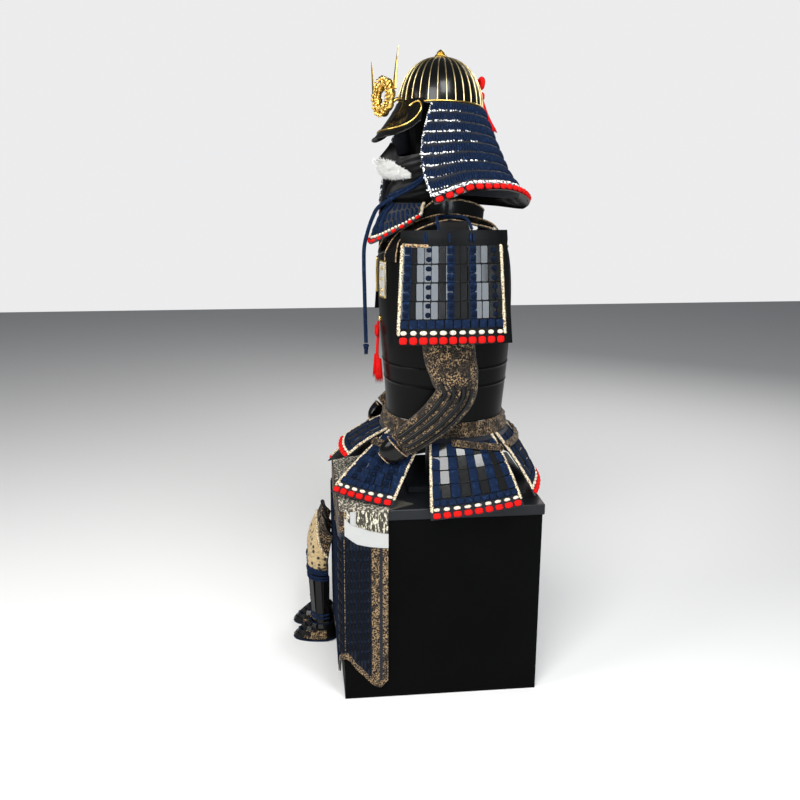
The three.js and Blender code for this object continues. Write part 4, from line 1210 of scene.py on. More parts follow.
class BuildHelmet(bpy.types.Operator):
    """Bowl with gilt ribs, knob, visor, crest and bow."""

    bl_idname = "armour.build_helmet"
    bl_label = "Helmet"

    def execute(self, context):
        sizes = context.scene.armour_sizes

        def over(angle, rise, out=0.0):
            return tuple(HELMET @ Vector(bowl(angle, rise, out)))

        us = [k / 96 for k in range(96)]
        wall(
            "bowl_shell", lambda u, v: over(u * 360, v), us, [0.96 * t for t in steps(20)], 2.5,
            "lacquer", "lacquer", ("helmet_bowl",), ring=True,
        )
        ribs = [
            [over(360 * k / sizes.rib_count, 0.015 + 0.92 * t, 1.0) for t in steps(18)]
            for k in range(sizes.rib_count)
        ]
        tube("bowl_ribs", ribs, sizes.rib_radius / MM, "ribs", "gilt", sides=6)
        band = [over(360 * k / 96, 0.02, 1.6) for k in range(96)]
        tube("bowl_base_band", [band], 2.0, "gilt", "gilt", closed=True, sides=6)
        self.knob()
        self.visor()
        self.crest()
        self.bow()
        return {"FINISHED"}

    def knob(self):
        def at(u, v):
            radius, high = evenly(KNOB, v)
            petal = 1 + 0.07 * math.cos(12 * u * 2 * math.pi) * clamp(1 - v * 2.2)
            place = Vector(
                (
                    radius * petal * math.sin(u * 2 * math.pi),
                    -radius * petal * math.cos(u * 2 * math.pi), 119.8 + high,
                )
            )
            return tuple(HELMET @ place)

        wall(
            "bowl_knob", at, [k / 48 for k in range(48)], steps(30), 0.3, "gilt", "gilt",
            ("helmet_knob",), ring=True,
        )

    def visor(self):
        at = placed(visor, HELMET)
        wall("visor_leaf", at, steps(48), steps(14), 2, "lacquer", "lacquer", ("helmet_visor",))
        curl = [
            [0.5, 0.2],
            [0.72, 0.2],
            [0.88, 0.24],
            [0.965, 0.4],
            [0.975, 0.66],
            [0.93, 0.86],
            [0.85, 0.86],
            [0.79, 0.78],
        ]
        near = [spot(at, *evenly(curl, t), 1.0)[0] for t in steps(60)]
        far = [spot(at, 1 - u, v, 1.0)[0] for u, v in (evenly(curl, t) for t in steps(60))]
        tube("visor_piping", [far[:0:-1] + near], 2.0, "gilt", "gilt")
        edge = [spot(at, u, 0.0, 0.0)[0] for u in steps(60)]
        tube("visor_lip", [edge], 1.8, "lacquer", "lacquer")

    def crest(self):
        forward, rise, wide, high, thick = 143, 19, 36, 33, 12

        def ring(u, v):
            angle = u * 2 * math.pi
            turn_round = v * 2 * math.pi
            lump = 1 + 0.16 * math.cos(8 * angle) + 0.05 * math.cos(24 * angle + 2 * turn_round)
            out = 0.8 * math.cos(turn_round) * thick * lump
            x = math.cos(angle) * (wide + out)
            z = math.sin(angle) * (high + out)
            y = -forward - math.sin(turn_round) * thick * lump * 0.8
            return tuple(HELMET @ Vector((x, y, z + rise)))

        us = [k / 144 for k in range(144)]
        vs = [k / 16 for k in range(17)]
        points = np.array([[ring(u, v) for v in vs[:-1]] for u in us]) * MM
        m, n = points.shape[:2]
        faces = [
            (i * n + j, ((i + 1) % m) * n + j, ((i + 1) % m) * n + (j + 1) % n, i * n + (j + 1) % n)
            for i in range(m)
            for j in range(n)
        ]
        mesh = bpy.data.meshes.new("crest_ring")
        mesh.from_pydata(points.reshape(-1, 3).tolist(), [], [f[::-1] for f in faces])
        mesh.polygons.foreach_set("use_smooth", [True] * len(faces))
        piece("crest_ring", mesh, "gilt", "gilt", ("crest_wreath",))
        leaves = []
        for k in range(26):
            a = 2 * math.pi * k / 26
            for reach, lean in ((wide + 7, 0.5), (wide - 5, -0.5)):
                place = Vector(
                    (math.cos(a) * reach, -forward - 7.5, math.sin(a) * (reach - wide + high) + rise)
                )
                way = Vector((math.cos(a + lean), 0, math.sin(a + lean)))
                facing = Vector(
                    (math.cos(a) * 0.35 * (1 if reach > wide else -1), -1, math.sin(a) * 0.35)
                )
                spin = HELMET.to_3x3()
                leaves.append((HELMET @ place, spin @ facing.normalized(), spin @ way, (1, 1, 1)))
        repeated("crest_leaves", "knot", leaves, "gilt", (11, 6, 5), "gilt", uneven=0.3)
        stem = [
            HELMET @ Vector(p)
            for p in curve_through([(0, -143, -14), (0, -124, 7), (0, -112, 17), (0, -99.9, 18)], 12)
        ]
        tube("crest_stem", [stem], 4, "gilt", "gilt")
        for side, name in ((1, "left"), (-1, "right")):
            def horn(u, v, side=side):
                size = 7.5 * bend(1 - v, 0.7) + 0.5
                x = side * mix(56.4, 74, bend(v, 1.3))
                flute = 1 + 0.12 * math.cos(3 * 2 * math.pi * u)
                place = Vector(
                    (
                        x + size * flute * math.cos(u * 2 * math.pi),
                        -143 + 0.45 * size * math.sin(u * 2 * math.pi), mix(25, 113, v),
                    )
                )
                return tuple(HELMET @ place)

            wall(
                "crest_tine_" + name, horn, [k / 24 for k in range(24)], steps(24), 0.4, "gilt", "gilt",
                ("crest_horn_" + name,), ring=True,
            )

    def bow(self):
        _, y, z = bowl(180, 0.36, 6.9)
        paths = []
        for side in (1, -1):
            loop = [
                (side * 3, y + 2, z + 2),
                (side * 22, y + 4, z + 12),
                (side * 30, y + 3, z + 2),
                (side * 20, y + 4, z - 8),
                (side * 3, y + 2, z - 3),
            ]
            tail = [
                (side * 4, y + 2, z - 6),
                (side * 8, y + 14.5, z - 40),
                (side * 11, y + 26, z - 70),
                (side * 13, y + 44, z - 100),
            ]
            paths.append([HELMET @ Vector(p) for p in curve_through(loop, 26)])
            paths.append([HELMET @ Vector(p) for p in curve_through(tail, 26)])
        tube("bow_cords", paths, 5.8, "red", "red_cord", ("helmet_bow",), sides=12)
        spin = HELMET.to_3x3()
        spots = []
        for dx, dy, dz, size in (
            (0, 0, 1, 0.8), (6, 9, -26, 0.9), (-6, 9, -26, 0.9), (0, 14, -20, 0.8), (0, 5, -12, 0.7)
        ):
            place = HELMET @ Vector((dx, y + 1 + dy, z + dz))
            spots.append((place, spin @ Vector((0, 1, 0)), spin @ Vector((1, 0, 0)), (size, size, size)))
        repeated("bow_knot", "knot", spots, "red", (21, 20, 12), "red_cord")
        ends = []
        for side in (1, -1):
            tip = Vector((side * 13, y + 44, z - 98))
            for k in range(14):
                a = 2 * math.pi * k / 14
                facing = Vector((0.16 * math.cos(a), 0.45 + 0.16 * math.sin(a), -0.9)).normalized()
                place = tip + Vector((3 * math.cos(a), 3 * math.sin(a), 3))
                ends.append((HELMET @ place, spin @ facing, spin @ Vector((1, 0, 0)), (1, 1, 1)))
        repeated("bow_ends", "lock", ends, "red", (2.6, 2.6, 12), "red_cord", uneven=0.2)


class BuildNeckGuard(bpy.types.Operator):
    """Nine laced rows round the neck, with a worn row, beads and a braided front edge."""

    bl_idname = "armour.build_neck_guard"
    bl_label = "Neck guard"

    def execute(self, context):
        sizes = context.scene.armour_sizes
        at = placed(neck_guard, HELMET)
        split = 1 / LAMES

        def lift(u, v):
            return 0.6 + 3.2 * (1 - (v / split - math.floor(v / split + 1e-6)))

        vs = [split + (1 - split) * t for t in steps((LAMES - 1) * 6)]
        wall(
            "guard_lames", at, steps(110), vs, 2.5, "navy_ground", "navy_cord", ("neck_guard",),
            lift=lift, sharp=30,
        )
        rng = np.random.default_rng(9)
        down = HELMET.to_3x3() @ Vector((0, 0, -1))
        # worn gathers white bits of painted highlight along each lame's lower edge, thickest towards the
        # front ends
        laces, worn = [], []
        for lame in range(1, LAMES):
            v = (lame + 0.5) * split
            fine = [Vector(at(u, v)) for u in steps(60)]
            total = sum((b - a).length for a, b in zip(fine, fine[1:]))
            count = int(total / (sizes.lace_width / MM))
            ends = PAINTED_HIGHLIGHT_SHARES[lame - 1]
            for k, s in enumerate(on_edge(at, lambda t, v=v: (t, v), count, 2.4)):
                laces.append(s)
                share = k / count
                if share < ends or share > 1 - ends:
                    near = min(share, 1 - share) / ends
                    if rng.random() < 1.0 - 0.7 * near**4:
                        size = rng.uniform(0.7, 1.25)
                        worn.append(
                            (
                                s[0] + down * (9.4 + rng.uniform(-1.0, 1.0)) + s[1] * 1.6, s[1], s[2],
                                (1, size, 1),
                            )
                        )
        lace = (sizes.lace_width / MM * 0.94, 21.5, 4.4)
        repeated("guard_lacing", "cord", laces, "navy", lace, "navy_cord", uneven=0.12)
        # White bits along the lames' lower edges: painted highlight
        repeated(
            "guard_worn_edges", "knot", worn, "navy_worn_and_highlit", (8.4, 5.2, 3.8), "navy_cord", uneven=0.35,
            seed=11,
        )
        wall(
            "guard_rim", at, steps(110), [split * t for t in steps(5)], 2.5, "lacquer", "red_cord",
            ("neck_guard_rim",), lift=lambda u, v: 1.2,
        )
        row = on_edge(at, lambda t: (t, 0.086), 128, 1.6)
        repeated("guard_worn_row", "cord", row, "navy_worn_and_highlit", (7.2, 9, 5), "navy_cord", uneven=0.15)
        beads = on_edge(at, lambda t: (mix(0.004, 0.996, t), 0.032), sizes.guard_beads, 1.0)
        repeated("guard_beads", "bead", beads, "red", (18, 12.5, 9), "red_cord", uneven=0.06)
        # The front braid's white mottle is partly painted highlight on the lames' front ends
        edges = [lambda t: (0.004, mix(0.08, 0.99, t)), lambda t: (0.996, mix(0.08, 0.99, t))]
        edge_braid("guard_front_braid", at, edges, 5.5, (7.5, 4.5, 4.5), 2.0, look="navy_worn_and_highlit")
        return {"FINISHED"}


class BuildFace(bpy.types.Operator):
    """Half mask with moustache, throat guard and the cords of the chin."""

    bl_idname = "armour.build_face"
    bl_label = "Mask and throat"

    def execute(self, context):
        at = placed(lambda u, v: mask(mix(-MASK_SPAN, MASK_SPAN, u), v), FACE)

        def lift(u, v):
            angle = mix(-MASK_SPAN, MASK_SPAN, u)
            height = mix(MASK[0][0], along(MASK_TOP, abs(angle))[0], v)
            mouth = -3.0 * math.exp(-(((height - 1245) / 5) ** 2)) * math.exp(-((angle / 26) ** 2))
            creases = 0.7 * math.cos((height - abs(angle) * 0.55) * 0.42)
            cheek = clamp((abs(angle) - 26) / 14) * clamp((76 - abs(angle)) / 14)
            return 0.4 + mouth + creases * cheek * clamp((height - 1206) / 16)

        wall(
            "mask_shell", at, steps(110), steps(56), 2.5, "mask", "lacquer", ("mask",), lift=lift,
            sharp=60,
        )
        self.hair(context.scene.armour_sizes.hair_count)
        self.throat()
        self.cords()
        return {"FINISHED"}

    def hair(self, count):
        rng = np.random.default_rng(5)
        ground = placed(self.ground, FACE)
        spots = []
        for _ in range(count):
            u, v = rng.uniform(0.0, 1.0), rng.uniform(0.02, 0.98)
            share = abs(2 * u - 1)
            place, facing, across, _ = spot(ground, u, v, 0.2)
            sweep = across * (0.9 if u > 0.5 else -0.9) * share + Vector((0, 0, (v - 0.62) * 0.9))
            facing = (facing + sweep + Vector(rng.normal(0, 0.28, 3))).normalized()
            size = (1, 1, (1 - 0.3 * share) * rng.uniform(0.55, 1.1))
            spots.append((place, facing, Vector((0, 0, 1)), size))
        repeated("moustache_hair", "lock", spots, "hair", (2.3, 2.3, 11.5), "white_hair", uneven=0.2)
        wall("moustache_ground", ground, steps(30), steps(12), 2.5, "hair", "white_hair", ("moustache",))

    @staticmethod
    def ground(u, v):
        angle = mix(-46, 46, u)
        share = abs(angle) / 46
        middle = 1277 - 16 * share**1.4
        height = middle + (v - 0.5) * 2 * (15 * (1 - share**3) + 3)
        crown = 13 * math.sin(math.pi * clamp(v)) * (1 - 0.9 * share**2)
        low = MASK[0][0]
        return mask(angle, (height - low) / (along(MASK_TOP, abs(angle))[0] - low), 3.8 + crown)

    def throat(self):
        at = placed(throat, FACE)
        wall(
            "throat_leaf", at, steps(60), steps(24), 2, "navy_ground", "navy_cord", ("throat_guard",),
            lift=lambda u, v: 0.6,
        )
        laces = []
        for row in range(3):
            v = mix(0.2, 1.0, (row + 0.5) / 3)
            laces += on_edge(at, lambda t, v=v: (mix(0.03, 0.97, t), v), 24 - 4 * row, 0.8)
        repeated("throat_lacing", "cord", laces, "navy", (6.6, 21, 4), "navy_cord", uneven=0.12)
        beads = on_edge(at, lambda t: (t, 0.055), 15, 0.8)
        repeated("throat_beads", "bead", beads, "red", (12, 8, 6), "red_cord", uneven=0.08)
        row = on_edge(at, lambda t: (t, 0.15), 34, 0.8)
        repeated("throat_row", "cord", row, "ovals", (7.2, 6, 5), "navy_cord", uneven=0.15)
        edges = [lambda t: (0.006, mix(0.1, 0.98, t)), lambda t: (0.994, mix(0.1, 0.98, t))]
        edge_braid("throat_side_braid", at, edges, 6, (8, 5.5, 4.5), 1.0)

    def cords(self):
        start = FACE @ Vector(mask(28, 0.13, 2.7))
        route = curve_through([tuple(start)] + CHIN_CORD, 80)
        end = route[-1]
        knot_spots = []
        for k, (dz, size) in enumerate(((-7.6, 1.0), (-14, 0.8))):
            knot_spots.append(
                (
                    Vector((end[0], end[1], end[2] + dz + 3)), Vector((0, 0, -1)), Vector((1, 0, 0)),
                    (size, size, 1),
                )
            )
        knot = repeated(
            "chin_knot", "knot", knot_spots, "navy", (15, 15, 9), "navy_cord", ("chin_cord_knot",)
        )
        tail = []
        for k in range(10):
            a = 2 * math.pi * k / 10
            facing = Vector((0.12 * math.cos(a), 0.12 * math.sin(a), -1)).normalized()
            tail.append(
                (
                    Vector((end[0] + 2 * math.cos(a), end[1] + 2 * math.sin(a), 852)), facing,
                    Vector((1, 0, 0)), (1, 1, 1),
                )
            )
        ends = repeated("chin_tail", "lock", tail, "navy", (5.5, 5.5, 15.5), "navy_cord", uneven=0.08)
        path = [tuple(Vector(p) * MM) for p in route]
        cord = tube("chin_lace", [route], 4.6, "navy", "navy_cord", ("chin_cord",), sides=12)
        length = sum((Vector(b) - Vector(a)).length for a, b in zip(path, path[1:]))
        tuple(path[0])
        strands = []
        for side in (1, -1):
            line = [(88, 0.8), (68, 0.55), (48, 0.28), (30, 0.14), (14, 0.07)]
            ways = [evenly(line, t) for t in steps(30)]
            for more in (0, 7):
                strands.append(
                    [FACE @ Vector(mask(side * a, v, 5.0)) + Vector((0, 0, more)) for a, v in ways]
                )
        tube("mask_laces", strands, 4.0, "navy", "navy_cord")
        hang = []
        for u, lean in ((0.56, 0.0), (0.62, 0.04)):
            hang.append(
                [spot(placed(throat, FACE), u + lean * t, 0.97 - 0.78 * t, 5.5)[0] for t in steps(20)]
            )
        tube("throat_laces", hang, 4.4, "navy", "navy_cord")


class BuildCuirass(bpy.types.Operator):
    """Smooth lacquered halves, shoulder straps, collar, chest plates, ring and tassel."""

    bl_idname = "armour.build_cuirass"
    bl_label = "Cuirass"

    def execute(self, context):
        def lift(u, v):
            height = mix(WAIST_HEIGHT, CHEST, v * 2)
            if v >= 0.5:
                return 0.6
            return 0.6 + 1.5 * sum(math.exp(-(((height - line) / 1.8) ** 2)) for line in RIDGES)

        for middle, top, name in ((0, FRONT_TOP, "front"), (180, BACK_TOP, "back")):
            at = cuirass_half(middle, top)
            vs = [0.5 * t for t in steps(90)] + [0.5 + 0.5 * t for t in steps(26)[1:]]
            wall(
                "cuirass_shell_" + name, at, steps(72), vs, 2.5, "satin", "lacquer",
                ("cuirass_" + name,), lift=lift,
            )
            rim = [spot(at, u, 0.985, 1.2)[0] for u in steps(80)]
            tube("cuirass_rim_" + name, [rim], 2.2, "lacquer", "lacquer")
        for side, name in ((1, "left"), (-1, "right")):
            at = strap if side == 1 else mirrored(strap)
            us, vs = steps(8), steps(60)
            wall(
                "strap_leaf_" + name, at, us, vs, 3, "lacquer", "lacquer", ("shoulder_strap_" + name,),
                side=-1,
            )
            edges = [
                [spot(at, u, mix(0.01, 0.99, t), 0.6, -1)[0] for t in steps(60)]
                for u in (0.02, 0.98)
            ]
            tube("strap_piping_" + name, edges, 1.5, "brown", "lacquer")
        wall(
            "collar_band", collar, steps(80), steps(10), 2.5, "lacquer", "lacquer", ("collar",),
            lift=lambda u, v: 1 + v,
        )
        piping = [spot(collar, u, 0.97, 1.6)[0] for u in steps(90)]
        tube("collar_piping", [piping], 1.8, "brown", "lacquer")
        self.fittings()
        return {"FINISHED"}

    def fittings(self):
        for side, name in ((1, "left"), (-1, "right")):
            def at(u, v, side=side):
                across = 6.5 * (2 * u - 1) * (1 - 0.25 * abs(v - 0.6))
                return torso(side * 18 + across, mix(980, 1064, v), 2.9)

            wall(
                "chest_leaf_" + name, at, steps(14), steps(20), 1.2, "white", "white_fittings",
                ("chest_plate_" + name,), lift=lambda u, v: 1.6,
            )
            edge = [spot(at, u, 0.0, 1.6)[0] for u in steps(10)]
            edge += [spot(at, 1.0, v, 1.6)[0] for v in steps(16)[1:]]
            edge += [spot(at, 1 - u, 1.0, 1.6)[0] for u in steps(10)[1:]]
            edge += [spot(at, 0.0, 1 - v, 1.6)[0] for v in steps(16)[1:-1]]
            tube("chest_frame_" + name, [edge], 2.0, "gilt", "white_fittings", closed=True)
            stud = [spot(at, 0.5, v, 1.8) for v in (0.2, 0.5, 0.8)]
            repeated("chest_studs_" + name, "knot", stud, "gilt", (9, 9, 3.4), "white_fittings")
        seat = Vector(torso(3, 921, 2.45))
        across = Matrix.Rotation(3 * 0.8 * DEG, 3, "Z") @ Vector((1, 0, 0))
        loop = [
            seat + across * 7 * math.cos(2 * math.pi * k / 32) + Vector(
                (0, 0, 7 * math.sin(2 * math.pi * k / 32))
            )
            for k in range(32)
        ]
        tube("chest_hoop", [loop], 2.0, "gilt", "gilt", ("chest_ring",), closed=True)
        x, y, _ = torso(3, 899, 7.2)
        paths = []
        for side, low, drop in TASSEL_ENDS:
            paths.append(
                curve_through(
                    [(x, y, 893), (x + side * 5.4, y - 3, 835), (x + side * 9, y - drop, low + 16)], 24
                )
            )
            ear = [
                (x, y - 3, 891),
                (x + side * 12, y - 5, 900),
                (x + side * 17, y - 4, 891),
                (x + side * 10, y - 5, 882),
                (x, y - 3, 888),
            ]
            paths.append(curve_through(ear, 24))
        paths.append(curve_through([(x, y, 914), (x, y - 1, 905), (x, y, 893)], 10))
        tube("tassel_cords", paths, 3.4, "red", "red_cord", ("chest_tassel",), sides=10)
        knot = [(Vector((x, y - 1, 893)), Vector((0, -1, 0)), Vector((1, 0, 0)), (1, 1, 1))]
        repeated("tassel_knot", "knot", knot, "red", (14, 17, 7), "red_cord")
        strands = []
        for side, low, drop in TASSEL_ENDS:
            for k in range(44):
                a = 2.4 * k
                r = 5.2 * math.sqrt((k + 0.5) / 44)
                facing = Vector((0.1 * math.cos(a) * r / 5, 0.1 * math.sin(a) * r / 5, -1)).normalized()
                place = Vector(
                    (x + side * 9 + r * math.cos(a) * 0.9, y - drop + r * math.sin(a) * 0.9, low + 60)
                )
                strands.append((place, facing, Vector((1, 0, 0)), (1, 1, 1)))
        repeated("tassel_strands", "lock", strands, "red", (3.0, 3.0, 60), "red_cord", uneven=0.06)


class BuildShoulderGuards(bpy.types.Operator):
    """Two panels of laced plates, each tied over its strap with a cord."""

    bl_idname = "armour.build_shoulder_guards"
    bl_label = "Shoulder guards"

    def execute(self, context):
        for side, name in ((1, "left"), (-1, "right")):
            form_at = shoulder_panel if side == 1 else mirrored(shoulder_panel)
            at = placed(form_at, SHOULDER[side])
            turned = (lambda u: u) if side == 1 else (lambda u: 1 - u)
            options = {
                "nodes": ("shoulder_guard_" + name,),
                "slot": "lacquer",
                "ground": "satin",
                "rows": 4,
                "plates": 14,
                "beads": 11,
                "crown": 3.6,
                "margins": (0.025, 0.925),
                "ribbons": (0.075, 0.455, 0.655),
                "knots": (0.075, 0.26, 0.455, 0.655, 0.855),
                "turned": side == -1,
                "braid_top": 0.87,
            }
            laced_panel("shoulder_" + name, at, 247, 246, options)
            cord = [spot(at, turned(mix(0.02, 0.25, t)), 0.873 - 0.01 * t, 3.6)[0] for t in steps(12)]
            tube("shoulder_top_cord_" + name, [cord], 3.8, "brown", "lacquer")
            toggles = [spot(at, turned(u), 0.935, 4.6) for u in (0.21, 0.235, 0.44, 0.635, 0.665)]
            repeated(
                "shoulder_toggles_" + name, "cord", toggles, "navy", (5, 21, 4), "navy_cord", uneven=0.1
            )
            route = [
                (247, -30, 1152),
                (200, -27, 1167),
                (160, -18, 1171.5),
                (126, 8, 1170.1),
                (160, 34, 1171.5),
                (200, 41, 1167),
                (244.5, 42, 1151.8),
            ]
            path = curve_through([(side * x, y, z) for x, y, z in route], 60)
            tube(
                "shoulder_tie_" + name, [path], 3.5, "navy", "navy_cord", ("shoulder_cord_" + name,),
                sides=10,
            )
        return {"FINISHED"}


class BuildSleeves(bpy.types.Operator):
    """Brocade sleeves with splints, and hand guards."""

    bl_idname = "armour.build_sleeves"
    bl_label = "Sleeves"

    def execute(self, context):
        def lift(u, v):
            elbow = clamp((v - 0.28) * 6) * clamp((0.5 - v) * 9)
            fold = 1.2 * math.sin(v * 46 + 2.2 * math.sin(u * 6.28)) * elbow
            return 0.6 + fold + 0.7 * math.sin(u * 25 + v * 9)

        for side, name in ((1, "left"), (-1, "right")):
            at = sleeve if side == 1 else mirrored(sleeve)
            us, vs = [k / 72 for k in range(72)], steps(110)
            rise = lift if side == 1 else (lambda u, v: lift(1 - u, v))
            ob = wall(
                "sleeve_cloth_" + name, at, us, vs, 2, "brocade", "brocade", ("sleeve_" + name,),
                ring=True, lift=rise,
            )
            sheet(
                at, us + [1.0], steps(40)
            )
            self.splints(name, at, side)
            hand_at = hand if side == 1 else mirrored(hand)
            wall(
                "hand_scoop_" + name, hand_at, steps(40), steps(20), 2, "lacquer", "lacquer",
                ("hand_guard_" + name,), lift=lambda u, v: 0.5,
            )
            rim = [spot(hand_at, u, 0.98, 0.8)[0] for u in steps(40)]
            rim_low = [spot(hand_at, u, 0.03, 0.6)[0] for u in steps(30)]
            tube("hand_rim_" + name, [rim, rim_low], 1.5, "brown", "lacquer")
        return {"FINISHED"}

    def splints(self, name, at, side):
        turned = (lambda u: u) if side == 1 else (lambda u: 1 - u)
        bars, piping = [], []
        for k in range(4):
            u = (90 + (k - 1.5) * 27) / 360
            places = [mix(0.035, 0.43 - 0.02 * k, t) for t in steps(30)]
            bars.append([spot(at, turned(u), v, -0.6)[0] for v in places])
            for d in (-0.021, 0.021):
                piping.append([spot(at, turned(u + d), v, 1.0)[0] for v in places])
        tube("sleeve_splints_" + name, bars, 5.2, "lacquer", "lacquer", sides=12)
        tube("sleeve_piping_" + name, piping, 0.9, "lacquer", "brocade", sides=6)
        seam = [spot(at, turned(0.5), mix(0.02, 0.6, t), 1.4)[0] for t in steps(40)]
        tube("sleeve_seam_" + name, [seam], 1.6, "satin", "brocade", sides=6)


class BuildWaist(bpy.types.Operator):
    """Brocade sash and the skirt's laced panels."""

    bl_idname = "armour.build_waist"
    bl_label = "Sash and skirt"

    def execute(self, context):
        def lift(u, v):
            band = abs(math.sin(math.pi * (v * 2)))
            return 0.6 + 4.4 * band + 1.3 * math.sin(u * 140 + v * 6) * band

        us = [k / 240 for k in range(240)]
        ob = wall(
            "sash_cloth", sash, us, steps(20), 4, "roll_brocade", "brocade", ("waist_sash",), ring=True,
            lift=lift,
        )
        sheet(sash, us + [1.0], steps(8))
        for panel, (*_, rows, beads) in SKIRT.items():
            names = [(panel, skirt_panel(panel), False)]
            if panel != "skirt_front":
                names.append((panel.replace("left", "right"), mirrored(skirt_panel(panel)), True))
            for name, at, turned in names:
                wide = (Vector(at(1, 0.3)) - Vector(at(0, 0.3))).length * 1.03
                tall = (Vector(at(0.5, 1)) - Vector(at(0.5, 0))).length * 1.02
                self.panel(name, at, wide, tall, rows + 1, beads, turned)
                if panel != "skirt_front":
                    self.roll(name, at, turned, 0.3 if panel == "skirt_left" else 0.0)
        return {"FINISHED"}

    def panel(self, name, at, wide, tall, rows, beads, turned):
        front = "front_" in name
        plates = beads
        every = [0.02 + 0.96 * (c + 0.5) / plates for c in range(plates)]
        options = {
            "nodes": (name,),
            "rows": rows,
            "plates": plates,
            "beads": beads,
            "turned": turned,
            "low": 0.235,
            "top": 0.93,
            "band": (0.155, 0.228),
            "oval_at": 0.115,
            "bead_at": 0.045,
            "halves": 1,
            "ribbon": wide * 0.96 / plates - 1.6,
            "ribbons": [u for k, u in enumerate(every) if k % 2 == 0 or front],
            "knots": every[1::2] if front else [],
            "knot": (17, 14, 7),
            "kept": 0.6,
            "lean": 3.4,
            "seed": 3 + len(name) + beads,
            "band_count": beads + 2,
        }
        laced_panel(name.replace("skirt", "tasset"), at, wide, tall, options)

    def roll(self, name, at, turned, start):
        """Rolled brocade that lies over a skirt panel's upper part."""
        pad = 9

        def on(u, v):
            across = mix(start, 1.0, u)
            across = 1 - across if turned else across
            fall = 0.93 - 0.16 * (u if start else 1.0)
            place, facing, _, _ = spot(at, across, fall + 0.05 * math.cos(v * 2 * math.pi), 4.6)
            lump = 1 + 0.12 * math.sin(31 * u + 2 * math.sin(v * 6.28))
            return tuple(place + facing * pad * 0.55 * lump * (1 + math.sin(v * 2 * math.pi)))

        ring = [k / 16 for k in range(16)]
        count = 60
        rows = [[on(u, v) for v in ring] for u in steps(count)]
        verts = [tuple(c * MM for c in p) for row in rows for p in row]
        n = len(ring)
        faces = []
        for i in range(count):
            for j in range(n):
                k = (j + 1) % n
                faces.append((i * n + j, i * n + k, (i + 1) * n + k, (i + 1) * n + j))
        faces.append(tuple(range(n - 1, -1, -1)))
        faces.append(tuple(count * n + j for j in range(n)))
        mesh = bpy.data.meshes.new(name + "_roll")
        mesh.from_pydata(verts, [], faces)
        mesh.polygons.foreach_set("use_smooth", [True] * len(faces))
        tidy = bmesh.new()
        tidy.from_mesh(mesh)
        bmesh.ops.recalc_face_normals(tidy, faces=tidy.faces)
        tidy.to_mesh(mesh)
        tidy.free()
        piece(name.replace("skirt", "tasset") + "_roll", mesh, "roll_brocade", "brocade")


